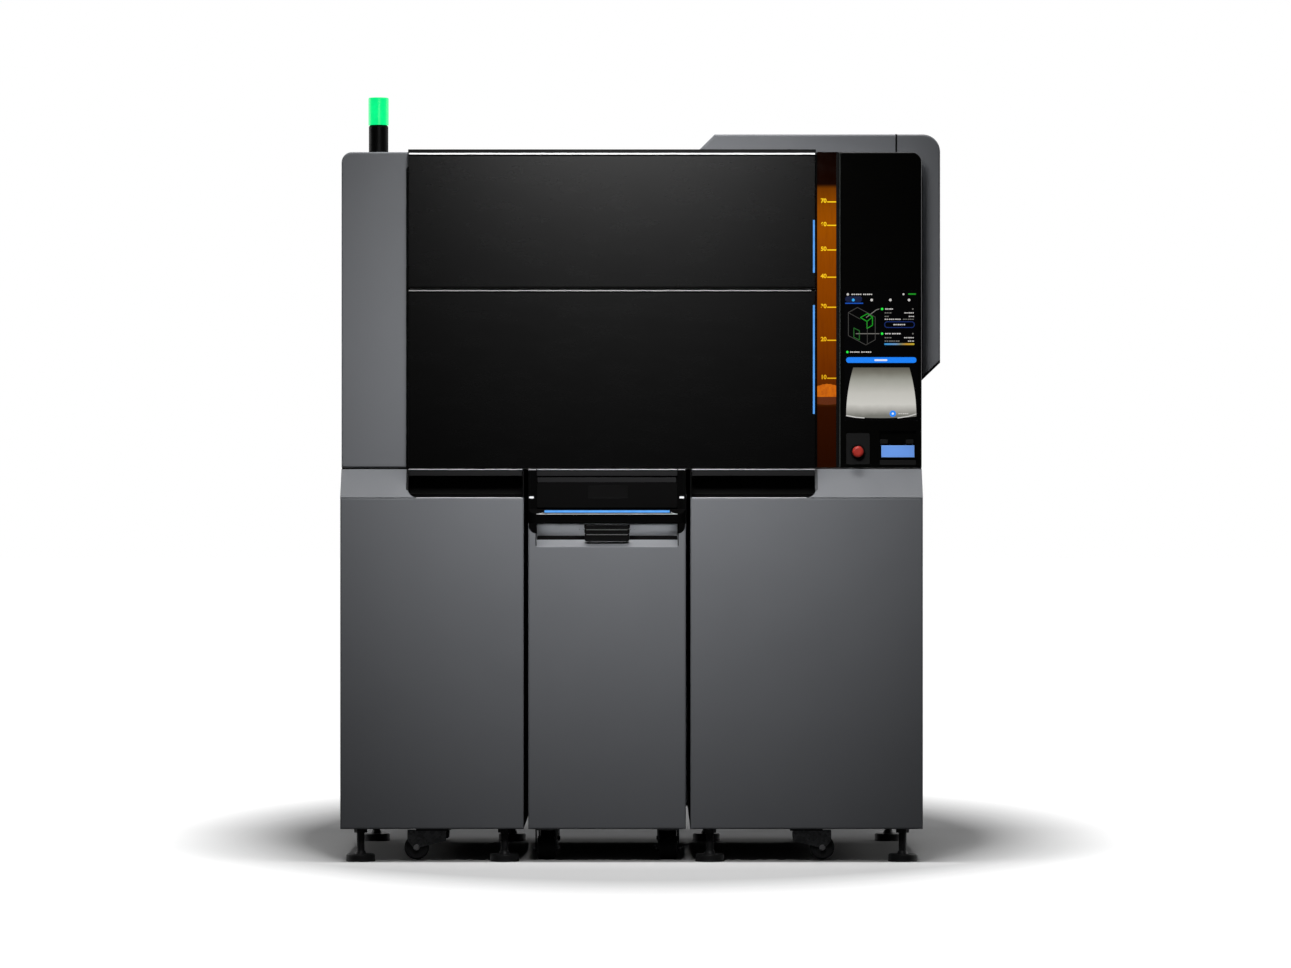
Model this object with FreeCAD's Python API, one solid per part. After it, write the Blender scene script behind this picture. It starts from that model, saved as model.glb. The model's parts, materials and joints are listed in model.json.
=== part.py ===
import FreeCAD, Part
import math
import os

# Industrial powder-bed printer with a docked build cart. Millimetres, +Z up, the front faces -Y.
# The origin is on the floor, under the middle of the outline.

V = FreeCAD.Vector

# Cabinet
cabinet_width = 1545.0
cabinet_depth = 1080.0
ground_clearance = 88.0
lower_height = 879.0
shoulder_rise = 76.0
upper_height = 840.0
upper_setback = 65.0
corner_radius = 28.0
sheet = 3.0
base_thickness = 12.0
tray_depth = 25.0
tray_wall = 3.0
edge_radius = 5.0
seam = 4.0
shroud_width = 177.5
window_width = 64.0
column_width = 218.0
deck_thickness = 10.0
wall_thickness = 36.0
rear_service_depth = 96.0
header_rise = 10.0
header_depth = 45.0

# Black recess under the doors
recess_radius = 26.0
recess_back = 75.0
recess_wall = 10.0
recess_floor = 3.0
recess_slope = 10.0
recess_lip = 38.0
recess_lip_height = 16.0
recess_lip_drop = 8.0

# Rear panel vents and mains inlet
vent_slot_length = 180.0
vent_slot_height = 10.0
vent_pitch = 26.0
vent_count = 10
vent_inset = 250.0
inlet_radius = 34.0
inlet_clearance = 1.0

# Doors
door_gap = 2.0
door_thickness = 24.0
door_stand_off = 16.0
door_bottom_gap = 3.0
lower_door_height = 475.0
door_split = 4.0
door_top_drop = 3.0
door_bevel = 6.0
door_edge_radius = 2.0
plug_margin = 24.0
plug_gap = 0.3
strip_width = 6.6
strip_depth = 3.0
strip_inset = 2.0
strip_fit = 0.1
upper_strip_length = 140.0
upper_strip_rise = 39.0
lower_strip_length = 289.0
lower_strip_rise = 143.0

# Door hinges
hinge_boss_radius = 8.5
hinge_arm_width = 12.0
hinge_arm_height = 14.0
hinge_foot_thickness = 4.0
hinge_foot_height = 56.0
hinge_room = 0.8
hinge_pin_radius = 4.0
hinge_pin_reach = 18.0
hinge_pin_clearance = 0.05
hinge_inset = 65.0

# Hood over the top and the right side
hood_overhang = 55.0
hood_rise = 54.0
hood_length = 604.0
hood_drop = 610.0
hood_setback = 110.0
hood_depth = 520.0
hood_radius = 47.0
hood_edge_radius = 6.0
hood_wall = 4.0
hood_seam_inset = 64.0
hood_seam = 1.5
hood_root = 60.0

# Signal beacon
beacon_inset = 96.0
beacon_setback = 60.0
beacon_base_radius = 26.0
beacon_base_height = 75.0
beacon_chamfer = 4.0
beacon_lens_radius = 27.0
beacon_lens_height = 73.0
beacon_lens_edge = 3.0

# Control column
display_width = 195.0
display_height = 346.0
display_inset = 12.0
display_rise = 126.0
display_thickness = 6.0
panel_rise = 7.0
estop_plate_width = 69.0
estop_plate_height = 90.0
estop_plate_depth = 1.5
estop_plate_inset = 13.0
estop_rise = 35.0
estop_collar_radius = 20.0
estop_collar_height = 6.0
estop_collar_bore = 8.0
estop_collar_tail = 26.0
estop_thread_radius = 11.0
estop_head_radius = 15.0
estop_head_height = 14.0
estop_travel = 6.0
estop_clearance = 0.05
tag_bay_width = 101.0
tag_bay_height = 93.0
tag_bay_depth = 18.0
tag_bay_wall = 2.0
tag_bay_inset = 13.0
tag_width = 88.0
tag_height = 32.0
tag_thickness = 12.0
tag_rise = 20.0
window_margin = 2.0
window_thickness = 8.0

# Powder hopper
hopper_wall = 3.0
hopper_front_gap = 5.0
hopper_depth = 345.0
hopper_width = 250.0
hopper_foot = 173.0
hopper_funnel_height = 110.0
hopper_top_gap = 86.0
throat_width = 70.0
throat_depth = 240.0

# Chamber, optics and heat
build_size = 330.0
build_setback = 350.0
build_wall = 8.0
build_gap = 3.0
window_glass_radius = 90.0
window_glass_thickness = 12.0
window_glass_ledge = 12.0
window_glass_fit = 0.2
scan_width = 300.0
scan_depth = 260.0
scan_height = 170.0
scan_edge = 12.0
laser_side_gap = 64.0
laser_depth = 300.0
laser_height = 130.0
laser_gap = 60.0
beam_tube_radius = 28.0
fin_count = 9
fin_thickness = 4.0
fin_height = 22.0
lamp_length = 420.0
lamp_radius = 7.0
lamp_drop = 45.0
lamp_holder = 26.0
lamp_first = 130.0
lamp_pitch = 90.0

# Recoater
rail_size = 20.0
rail_end_gap = 36.0
rail_room = 14.0
rail_clearance = 0.3
roller_radius = 25.0
roller_length = 376.0
roller_gap = 0.5
journal_radius = 10.0
journal_length = 18.0
journal_clearance = 0.05
roller_side_gap = 1.0
carriage_length = 90.0
carriage_block = 50.0
carriage_cheek = 22.0
carriage_beam = 30.0
carriage_edge = 10.0
carriage_wall_gap = 84.0

# Control electronics in the left cabinet
electronics_depth = 260.0
electronics_height = 620.0
electronics_side_gap = 100.0
electronics_bay_gap = 60.0
electronics_edge = 8.0

# Build cart
cart_offset = -65.0
cart_width = 418.0
cart_gap = 12.0
cart_depth = 640.0
cart_front_depth = 70.0
cart_top_gap = 0.3
cart_sheet = 4.0
cart_base_rise = 4.0
cart_lid_thickness = 6.0
box_fit = 0.5
box_depth = 470.0
box_flange = 20.0
box_flange_thickness = 4.0
platform_thickness = 20.0
platform_drop = 340.0
platform_clearance = 0.3
lift_radius = 48.0
lift_height = 430.0
lift_rod_radius = 20.0
lift_rod_clearance = 0.05
lift_rod_length = 500.0
lift_bore_end = 20.0

# Cart handle, finger pocket and latch
handle_top_height = 145.0
handle_bar_height = 26.0
handle_bar_depth = 40.0
handle_bar_slope_rise = 12.5
handle_bar_slope_depth = 18.0
handle_bar_radius = 22.0
handle_bar_edge = 4.0
handle_pillar_proud = 6.0
handle_leg_width = 22.0
handle_leg_skin = 1.5
handle_leg_drop = 26.0
handle_leg_radius = 20.0
handle_groove_height = 13.0
handle_groove_depth = 6.0
handle_groove_drop = 21.7
handle_recess_width = 117.0
handle_recess_height = 36.0
handle_recess_depth = 5.0
handle_recess_drop = 39.0
pocket_floor_drop = 61.7
pocket_lip_depth = 26.0
pocket_lip_rise = 19.0
pocket_trough = 12.0
pocket_back = 56.0
pocket_sheet = 4.0
cart_strip_length = 332.0
cart_strip_start = 6.0
cart_strip_width = 10.6
cart_strip_depth = 3.0
latch_width = 122.0
latch_height = 38.0
latch_thickness = 14.0
latch_axis_drop = 9.0
latch_setback = 12.0
latch_neck = 4.0
latch_step = 4.0
latch_step_drop = 8.0
latch_back = 5.0
latch_pin_radius = 4.0
latch_pin_length = 10.0
latch_pin_clearance = 0.05
latch_side_gap = 0.5
latch_lug_thickness = 12.0
latch_edge = 6.0

# Levelling feet
foot_inset = 52.0
foot_front = 50.0
foot_spacing = 872.0
foot_pad_radius = 38.0
foot_pad_height = 20.0
foot_pad_edge = 2.5
foot_boss_radius = 15.0
foot_boss_height = 8.0
foot_neck_radius = 12.0
foot_stem_radius = 10.0
foot_stem_clearance = 0.05
foot_stem_above = 45.0
foot_nut_across = 30.0
foot_nut_height = 12.0

# Machine casters
caster_front = 70.0
caster_spacing = 880.0
caster_wheel_radius = 32.5
caster_wheel_width = 26.0
caster_lift = 4.0
caster_trail = 43.0
caster_plate = 86.0
caster_crown_ahead = 35.0
caster_crown_behind = 24.0
caster_skirt = 28.0

# Cart casters
cart_caster_inset = 46.0
cart_caster_front = 108.0
cart_caster_spacing = 445.0
cart_wheel_radius = 30.0
cart_wheel_width = 48.0
cart_caster_lift = 0.5
cart_caster_trail = 22.0
cart_caster_plate = 60.0

# Shapes shared by all casters
caster_plate_thickness = 6.0
kingpin_radius = 8.0
kingpin_clearance = 0.05
crown_gap = 0.4
crown_thickness = 6.0
crown_radius = 22.0
cheek_thickness = 4.0
cheek_radius = 9.0
cheek_gap = 1.0
axle_radius = 5.0
axle_clearance = 0.05
axle_head = 2.0
tyre_edge = 4.0
hub_radius = 14.0
hub_recess = 2.5

# Places worked out from the sizes above
middle_x = -hood_overhang / 2
left_x = middle_x - cabinet_width / 2
right_x = middle_x + cabinet_width / 2
front_y = -cabinet_depth / 2
rear_y = cabinet_depth / 2
upper_y = front_y + upper_setback
panel_top = ground_clearance + lower_height
shoulder_top = panel_top + shoulder_rise
deck_top = shoulder_top + deck_thickness
shroud_bottom = shoulder_top + seam
upper_top = shroud_bottom + upper_height
lower_back = front_y + tray_depth
upper_back = upper_y + tray_depth
chamber_left = left_x + shroud_width
chamber_right = right_x - column_width - window_width
chamber_rear = rear_y - sheet - rear_service_depth
column_left = right_x - column_width
bay_middle = middle_x + cart_offset
bay_left = bay_middle - cart_width / 2 - cart_gap
bay_right = bay_middle + cart_width / 2 + cart_gap
electronics_left = left_x + sheet + electronics_side_gap
electronics_right = bay_left - sheet - electronics_bay_gap
build_y = front_y + build_setback
door_y = upper_y - door_stand_off - door_thickness
door_left = chamber_left + door_gap
door_right = chamber_right - door_gap
door_bottom = shoulder_top + door_bottom_gap
lower_door_top = door_bottom + lower_door_height
upper_door_bottom = lower_door_top + door_split
upper_door_top = upper_top - door_top_drop
ceiling_middle = lower_door_top + door_split / 2
ceiling_bottom = ceiling_middle - wall_thickness / 2
ceiling_top = ceiling_middle + wall_thickness / 2
carriage_x = chamber_right - wall_thickness - carriage_wall_gap - carriage_length / 2
hinge_x = door_left + door_thickness / 2
hinge_y = door_y + door_thickness / 2
cart_left = bay_middle - cart_width / 2
cart_right = bay_middle + cart_width / 2
cart_top = shoulder_top - cart_top_gap
cart_bottom = ground_clearance
cart_back = front_y + cart_front_depth
handle_bottom = cart_top - handle_top_height


def box(x0, x1, y0, y1, z0, z1):
    """A block between two corners."""
    return Part.makeBox(x1 - x0, y1 - y0, z1 - z0, V(x0, y0, z0))


def rod(radius, start, end):
    """A round bar from one point to another."""
    return Part.makeCylinder(radius, (end - start).Length, start, end - start)


def prism(points, direction):
    """A straight extrusion of a closed outline of points."""
    return Part.Face(Part.makePolygon(points + points[:1])).extrude(direction)


def join(first, *others):
    """Several touching solids as one."""
    return first.fuse(list(others)).removeSplitter()


def edges_along(shape, direction, keep):
    """The straight edges that run along a direction and whose middle passes a test."""
    found = []
    for edge in shape.Edges:
        if not isinstance(edge.Curve, Part.Line):
            continue
        if edge.Curve.Direction.cross(direction).Length < 1e-6 and keep(edge.CenterOfMass):
            found.append(edge)
    return found


def edges_on(shape, y):
    """The edges that lie in the plane at one y."""
    found = []
    for edge in shape.Edges:
        if abs(edge.BoundBox.YMin - y) < 1e-3 and abs(edge.BoundBox.YMax - y) < 1e-3:
            found.append(edge)
    return found


def save(node, *solids):
    """Writes one sub-part, as one solid or as a group of separate solids."""
    shape = solids[0] if len(solids) == 1 else Part.makeCompound(list(solids))
    shape.exportStep("parts/" + node + ".step")


def casing(inset, y0, y1):
    """The upper outline of the cabinet, pulled in by an inset, with its round top corners."""
    block = box(left_x + inset, right_x - inset, y0, y1, ground_clearance, upper_top - inset)
    tops = edges_along(block, V(0, 1, 0), lambda middle: middle.z > upper_top - corner_radius)
    return block.makeFillet(corner_radius - inset, tops)


def tray(x0, x1, y, z0, z1, round_x=None):
    """A folded front panel: a skin with returns behind it. round_x marks a large top corner."""
    outer = box(x0, x1, y, y + tray_depth, z0, z1)
    inner = box(x0 + tray_wall, x1 - tray_wall, y + tray_wall, y + tray_depth, z0 + tray_wall, z1 - tray_wall)
    if round_x is not None:
        near = lambda middle: abs(middle.x - round_x) < corner_radius and middle.z > z1 - corner_radius
        outer = outer.makeFillet(corner_radius, edges_along(outer, V(0, 1, 0), near))
        inner = inner.makeFillet(corner_radius - tray_wall, edges_along(inner, V(0, 1, 0), near))
    return outer.makeFillet(edge_radius, edges_on(outer, y)).cut(inner)


def make_base():
    """Two base plates with weld nuts for the feet, and the two bay walls."""
    z = ground_clearance
    spans = [(left_x + sheet, bay_left), (bay_right, right_x - sheet)]
    plates = []
    for x0, x1 in spans:
        plate = box(x0, x1, lower_back, rear_y - sheet, z, z + base_thickness)
        for x, y in foot_places():
            if x0 < x < x1:
                plate = join(plate, hexagon(x, y, z - foot_nut_height, foot_nut_height))
        for x, y in foot_places():
            if x0 < x < x1:
                bore = foot_stem_radius + foot_stem_clearance
                plate = plate.cut(rod(bore, V(x, y, z - foot_nut_height), V(x, y, z + base_thickness)))
        plates.append(plate)
    save("base_plates", *plates)
    walls = []
    for x in (bay_left - sheet, bay_right):
        walls.append(box(x, x + sheet, lower_back, rear_y - sheet, z + base_thickness, shoulder_top))
    save("bay_walls", *walls)


def hexagon(x, y, z, height):
    """A hexagon nut body standing on z."""
    radius = foot_nut_across / math.sqrt(3)
    corners = []
    for step in range(6):
        turn = math.radians(60 * step)
        corners.append(V(x + radius * math.cos(turn), y + radius * math.sin(turn), z))
    return prism(corners, V(0, 0, height))


def foot_places():
    """The middles of the eight feet: four in front and four behind."""
    places = []
    for y in (front_y + foot_front, front_y + foot_front + foot_spacing):
        for x in (left_x + foot_inset, bay_left - foot_inset, bay_right + foot_inset, right_x - foot_inset):
            places.append((x, y))
    return places


def make_lower_panels():
    """The folded panels in front, the side panels with the shoulder's slope, and the rear panel."""
    save("left_front_panel", tray(left_x, bay_left, front_y, ground_clearance, panel_top))
    save("right_front_panel", tray(bay_right, right_x, front_y, ground_clearance, panel_top))
    sides = []
    for x in (left_x, right_x - sheet):
        outline = [
            V(x, lower_back, ground_clearance),
            V(x, lower_back, panel_top),
            V(x, upper_back, shoulder_top),
            V(x, upper_back, upper_top - corner_radius),
            V(x, rear_y - sheet, upper_top - corner_radius),
            V(x, rear_y - sheet, ground_clearance),
        ]
        sides.append(prism(outline, V(sheet, 0, 0)))
    save("side_panels", *sides)
    rear = casing(0, rear_y - sheet, rear_y)
    for middle in (left_x + vent_inset, right_x - vent_inset):
        for step in range(vent_count):
            for start in (panel_top - vent_inset, upper_top - vent_inset):
                rear = rear.cut(vent_slot(middle, start - step * vent_pitch))
    inlet = inlet_middle()
    hole = rod(inlet_radius + inlet_clearance, inlet - V(0, sheet, 0), inlet)
    save("rear_panel", rear.cut(hole))


def vent_slot(x, z):
    """One long vent slot with round ends."""
    radius = vent_slot_height / 2
    reach = vent_slot_length / 2 - radius
    slot = box(x - reach, x + reach, rear_y - sheet, rear_y, z - radius, z + radius)
    ends = []
    for end in (x - reach, x + reach):
        ends.append(rod(radius, V(end, rear_y - sheet, z), V(end, rear_y, z)))
    return join(slot, *ends)


def inlet_middle():
    """The middle of the round mains inlet, low on the rear of the electronics."""
    x = (electronics_left + electronics_right) / 2
    return V(x, rear_y, ground_clearance + base_thickness + inlet_radius * 3)


def make_shoulder():
    """The sloped shoulder left and right of the recess, with the recess's round lower corners."""
    slope = prism(
        [
            V(left_x, front_y, panel_top),
            V(left_x, upper_y, shoulder_top),
            V(left_x, upper_back, shoulder_top),
            V(left_x, lower_back, panel_top),
        ],
        V(cabinet_width, 0, 0),
    )
    pieces = []
    for outer_x, inner_x, side in ((left_x, chamber_left, 1), (right_x, chamber_right, -1)):
        centre = V(inner_x + side * recess_radius, front_y, panel_top + recess_radius)
        low = V(centre.x, front_y, panel_top)
        high = V(inner_x, front_y, centre.z)
        turn = recess_radius * math.sqrt(0.5)
        corner = Part.Arc(low, V(centre.x - side * turn, front_y, centre.z - turn), high)
        top = V(inner_x, front_y, shoulder_top)
        outer_top = V(outer_x, front_y, shoulder_top)
        outer_low = V(outer_x, front_y, panel_top)
        lines = [Part.LineSegment(high, top), Part.LineSegment(top, outer_top)]
        lines += [Part.LineSegment(outer_top, outer_low), Part.LineSegment(outer_low, low)]
        outline = Part.Wire([corner.toShape()] + [line.toShape() for line in lines])
        pieces.append(Part.Face(outline).extrude(V(0, upper_back - front_y, 0)).common(slope))
    save("shoulder_trim", *pieces)
    back = lower_back + recess_back
    lip_top = shoulder_top - recess_lip_drop
    lip_bottom = lip_top - recess_lip_height
    profile = [
        (lower_back, panel_top),
        (back, panel_top + recess_slope),
        (back, lip_bottom),
        (back - recess_lip, lip_bottom),
        (back - recess_lip, lip_top),
        (back + recess_wall, lip_top),
        (back + recess_wall, panel_top - recess_floor),
        (lower_back, panel_top - recess_floor),
    ]
    troughs = []
    for x0, x1 in ((chamber_left, bay_left - sheet), (bay_right + sheet, chamber_right)):
        troughs.append(prism([V(x0, y, z) for y, z in profile], V(x1 - x0, 0, 0)))
    save("recess_trim", *troughs)


def make_upper_casing():
    """The left shroud, the roof with its round corners, and the black header over the upper door."""
    save("left_shroud", tray(left_x, chamber_left, upper_y, shroud_bottom, upper_top, left_x))
    roof_front = upper_y + window_thickness
    roof = casing(0, roof_front, rear_y - sheet).cut(casing(sheet, roof_front, rear_y - sheet))
    keep = box(left_x, right_x, roof_front, rear_y - sheet, upper_top - corner_radius, upper_top)
    roof = roof.common(keep)
    for x0, x1 in ((left_x, chamber_left), (column_left, right_x)):
        roof = roof.cut(box(x0, x1, roof_front, upper_back, upper_top - corner_radius, upper_top))
    header = box(
        chamber_left, chamber_right,
        upper_y, upper_y + header_depth,
        upper_top - sheet, upper_top - sheet + header_rise,
    )
    save("roof_panel", roof.cut(header))
    save("door_header", header)


def make_hood():
    """The hood that wraps over the roof and down the right side, split at its seam."""
    y0 = upper_y + hood_setback
    y1 = y0 + hood_depth
    top = upper_top + hood_rise
    outer_x = right_x + hood_overhang
    slope_x = right_x - hood_length
    low_z = upper_top - hood_drop
    outline = [
        V(slope_x - hood_root, y0, upper_top - hood_root),
        V(slope_x + hood_rise, y0, top),
        V(outer_x, y0, top),
        V(outer_x, y0, low_z + hood_overhang),
        V(right_x - hood_root, y0, low_z - hood_root),
        V(right_x - hood_root, y0, upper_top - hood_root),
    ]
    at_corner = lambda middle: middle.x > outer_x - 1 and middle.z > top - 1
    shell = prism(outline, V(0, hood_depth, 0))
    shell = shell.makeFillet(hood_radius, edges_along(shell, V(0, 1, 0), at_corner))
    front = Part.Face(Part.Wire(Part.__sortEdges__(edges_on(shell, y0))))
    hollow = front.makeOffset2D(-hood_wall).extrude(V(0, hood_depth - 2 * hood_wall, 0))
    hollow.translate(V(0, hood_wall, 0))
    shell = shell.makeFillet(hood_edge_radius, edges_on(shell, y0))
    shell = shell.cut(hollow).cut(casing(0, front_y, rear_y))
    seam_x = right_x - hood_seam_inset
    low = low_z - hood_root
    save("hood_top", shell.common(box(slope_x - hood_root, seam_x, y0, y1, low, top)))
    save("hood_side", shell.common(box(seam_x + hood_seam, outer_x, y0, y1, low, top)))


def make_beacon():
    """The signal beacon's base and lens."""
    foot = V(left_x + beacon_inset, upper_y + beacon_setback, upper_top)
    neck = foot + V(0, 0, beacon_base_height)
    tip = neck + V(0, 0, beacon_lens_height)
    base = rod(beacon_base_radius, foot, neck)
    top_edge = [edge for edge in base.Edges if edge.BoundBox.ZMin > neck.z - 1]
    save("beacon_base", base.makeChamfer(beacon_chamfer, top_edge))
    lens = rod(beacon_lens_radius, neck, tip)
    rim = [edge for edge in lens.Edges if edge.BoundBox.ZMin > tip.z - 1]
    save("beacon_lens", lens.makeFillet(beacon_lens_edge, rim))


def make_chamber():
    """The deck with the build opening, the chamber's walls, and the ceiling with the laser's window."""
    deck = join(
        box(left_x + sheet, right_x - sheet, upper_back, rear_y - sheet, shoulder_top, deck_top),
        box(chamber_left, chamber_right, upper_y, upper_back, shoulder_top, deck_top),
    )
    half = build_size / 2 + build_gap
    hole = box(bay_middle - half, bay_middle + half, build_y - half, build_y + half, shoulder_top, deck_top)
    save("deck_plate", deck.cut(hole))
    top = upper_top - sheet
    inner_left = chamber_left + wall_thickness
    inner_right = chamber_right - wall_thickness
    left = box(chamber_left, inner_left, upper_y, chamber_rear, deck_top, top)
    right = box(inner_right, chamber_right, upper_y, chamber_rear, deck_top, top)
    throat = throat_box(-wall_thickness, 0)
    rear = box(chamber_left, chamber_right, chamber_rear, chamber_rear + wall_thickness, deck_top, top)
    save("chamber_walls", left, right.cut(throat), rear)
    ceiling = box(inner_left, inner_right, upper_y, chamber_rear, ceiling_bottom, ceiling_top)
    seat = ceiling_top - window_glass_thickness
    middle = V(bay_middle, build_y, ceiling_bottom)
    ceiling = ceiling.cut(rod(window_glass_radius - window_glass_ledge, middle, V(bay_middle, build_y, seat)))
    bore = window_glass_radius + window_glass_fit
    ceiling = ceiling.cut(rod(bore, V(bay_middle, build_y, seat), V(bay_middle, build_y, ceiling_top)))
    save("chamber_ceiling", ceiling)
    glass = rod(window_glass_radius, V(bay_middle, build_y, seat), V(bay_middle, build_y, ceiling_top))
    save("optical_window", glass)


def fins(x0, x1, y0, y1, z):
    """A row of cooling fins that stand on z."""
    pitch = (x1 - x0 - fin_thickness) / (fin_count - 1)
    row = []
    for step in range(fin_count):
        x = x0 + step * pitch
        row.append(box(x, x + fin_thickness, y0, y1, z, z + fin_height))
    return row


def make_optics():
    """The sealed scan head over the window, and the finned laser source that feeds it."""
    x0 = bay_middle - scan_width / 2
    x1 = bay_middle + scan_width / 2
    y0 = build_y - scan_depth / 2
    y1 = build_y + scan_depth / 2
    top = ceiling_top + scan_height
    head = box(x0, x1, y0, y1, ceiling_top, top)
    head = head.makeFillet(scan_edge, edges_along(head, V(0, 0, 1), lambda middle: True))
    save("scan_head", join(head, *fins(x0 + scan_edge, x1 - scan_edge, y0 + scan_edge, y1 - scan_edge, top)))
    x1 = x0 - laser_gap
    x0 = chamber_left + wall_thickness + laser_side_gap
    y0 = build_y - laser_depth / 2
    y1 = build_y + laser_depth / 2
    top = ceiling_top + laser_height
    body = box(x0, x1, y0, y1, ceiling_top, top)
    height = ceiling_top + laser_height / 2
    tube = rod(beam_tube_radius, V(x1, build_y, height), V(x1 + laser_gap, build_y, height))
    save("laser_source", join(body, tube, *fins(x0, x1, y0, y1, top)))


def make_lamps():
    """Four quartz heater tubes, each in two holders under the ceiling."""
    z = ceiling_bottom - lamp_drop
    lamps = []
    for side in (-1, 1):
        for step in range(2):
            x = bay_middle + side * (lamp_first + step * lamp_pitch)
            y0 = build_y - lamp_length / 2
            y1 = build_y + lamp_length / 2
            tube = rod(lamp_radius, V(x, y0, z), V(x, y1, z))
            half = lamp_holder / 2
            holders = []
            for y in (y0, y1 - lamp_holder):
                holders.append(box(x - half, x + half, y, y + lamp_holder, z - half, ceiling_bottom))
            lamps.append(join(tube, *holders))
    save("heater_lamps", *lamps)


def throat_box(x0, x1):
    """The space of the hopper's throat, from x0 to x1 counted from the chamber's right face."""
    low = shoulder_top + hopper_foot - hopper_funnel_height
    y = upper_back + hopper_front_gap + hopper_depth / 2
    height = throat_width - 2 * hopper_wall
    return box(
        chamber_right + x0, chamber_right + x1,
        y - throat_depth / 2, y + throat_depth / 2,
        low, low + height,
    )


def make_hopper():
    """The powder hopper: a tank with a window neck in front and a funnel to the chamber below."""
    x0 = chamber_right
    x1 = x0 + hopper_width
    y0 = upper_back + hopper_front_gap
    y1 = y0 + hopper_depth
    floor = shoulder_top + hopper_foot
    top = upper_top - hopper_top_gap
    low = floor - hopper_funnel_height
    neck_x = column_left - seam
    window_back = upper_y + window_thickness
    middle = (y0 + y1) / 2

    def body(inset):
        """The tank, its neck and its funnel, pulled in by an inset."""
        tank = box(x0 + inset, x1 - inset, y0 + inset, y1 - inset, floor, top)
        neck = box(x0 + inset, neck_x - inset, window_back, y0 + inset, floor + inset, top)
        half = throat_depth / 2 + hopper_wall - inset
        sections = []
        for z, right, front, back in (
            (floor, x1 - inset, y0 + inset, y1 - inset),
            (low + inset, x0 + throat_width - inset, middle - half, middle + half),
        ):
            left = x0 + inset
            corners = [V(left, front, z), V(right, front, z), V(right, back, z), V(left, back, z)]
            sections.append(Part.makePolygon(corners + corners[:1]))
        funnel = Part.makeLoft(sections, True, True)
        return join(tank, neck, funnel)

    tank = body(0).cut(body(hopper_wall)).cut(throat_box(0, hopper_wall))
    save("powder_hopper", tank)
    save(
        "hopper_window",
        box(
            chamber_right + window_margin, column_left - seam,
            upper_y, window_back,
            shroud_bottom, upper_top,
        ),
    )


def make_control_column():
    """The black glass column with pockets for the display, the stop button and the tag bay."""
    column = tray(column_left, right_x, upper_y, shroud_bottom, upper_top, right_x)
    screen_x0 = column_left + display_inset
    screen_x1 = screen_x0 + display_width
    screen_z0 = shroud_bottom + display_rise
    screen_z1 = screen_z0 + display_height
    screen_back = upper_y + display_thickness
    screen = box(screen_x0, screen_x1, upper_y, screen_back, screen_z0, screen_z1)
    plate_x0 = column_left + estop_plate_inset
    plate_z0 = shroud_bottom + panel_rise
    plate = box(
        plate_x0, plate_x0 + estop_plate_width,
        upper_y, upper_y + estop_plate_depth,
        plate_z0, plate_z0 + estop_plate_height,
    )
    stop = V(plate_x0 + estop_plate_width / 2, upper_y + estop_plate_depth, plate_z0 + estop_rise)
    tail = stop + V(0, estop_collar_tail, 0)
    bay_x1 = right_x - tag_bay_inset
    bay_x0 = bay_x1 - tag_bay_width
    bay_y1 = upper_y + tag_bay_depth
    bay = box(bay_x0, bay_x1, upper_y, bay_y1, plate_z0, plate_z0 + tag_bay_height)
    hollow = box(
        bay_x0 + tag_bay_wall, bay_x1 - tag_bay_wall,
        upper_y, bay_y1 - tag_bay_wall,
        plate_z0 + tag_bay_wall, plate_z0 + tag_bay_height - tag_bay_wall,
    )
    column = column.cut(screen).cut(plate).cut(rod(estop_thread_radius, stop, tail))
    save("control_column", join(column, bay).cut(hollow))
    save("display_panel", screen)
    tag_x0 = (bay_x0 + bay_x1 - tag_width) / 2
    tag_z0 = plate_z0 + tag_rise
    tag_y1 = bay_y1 - tag_bay_wall
    tag = box(tag_x0, tag_x0 + tag_width, tag_y1 - tag_thickness, tag_y1, tag_z0, tag_z0 + tag_height)
    save("material_tag", tag)
    rim = stop - V(0, estop_collar_height, 0)
    collar = join(rod(estop_collar_radius, rim, stop), rod(estop_thread_radius, stop, tail))
    save("estop_collar", collar.cut(rod(estop_collar_bore, rim, tail)))
    head_back = rim - V(0, estop_travel + plug_gap, 0)
    head = rod(estop_head_radius, head_back - V(0, estop_head_height, 0), head_back)
    head = head.makeFillet(estop_head_height / 2, edges_on(head, head_back.y - estop_head_height))
    stem = rod(estop_collar_bore - estop_clearance, head_back, tail - V(0, estop_travel, 0))
    save("estop_button", join(head, stem))


def make_electronics():
    """The control electronics' enclosure with its mains inlet through the rear panel."""
    x0 = electronics_left
    x1 = electronics_right
    y1 = rear_y - sheet
    z0 = ground_clearance + base_thickness
    case = box(x0, x1, y1 - electronics_depth, y1, z0, z0 + electronics_height)
    case = case.makeFillet(electronics_edge, edges_along(case, V(0, 0, 1), lambda middle: middle.y < y1 - 1))
    inlet = inlet_middle()
    socket = rod(inlet_radius, V(inlet.x, y1, inlet.z), inlet)
    save("control_electronics", join(case, socket))


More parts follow.
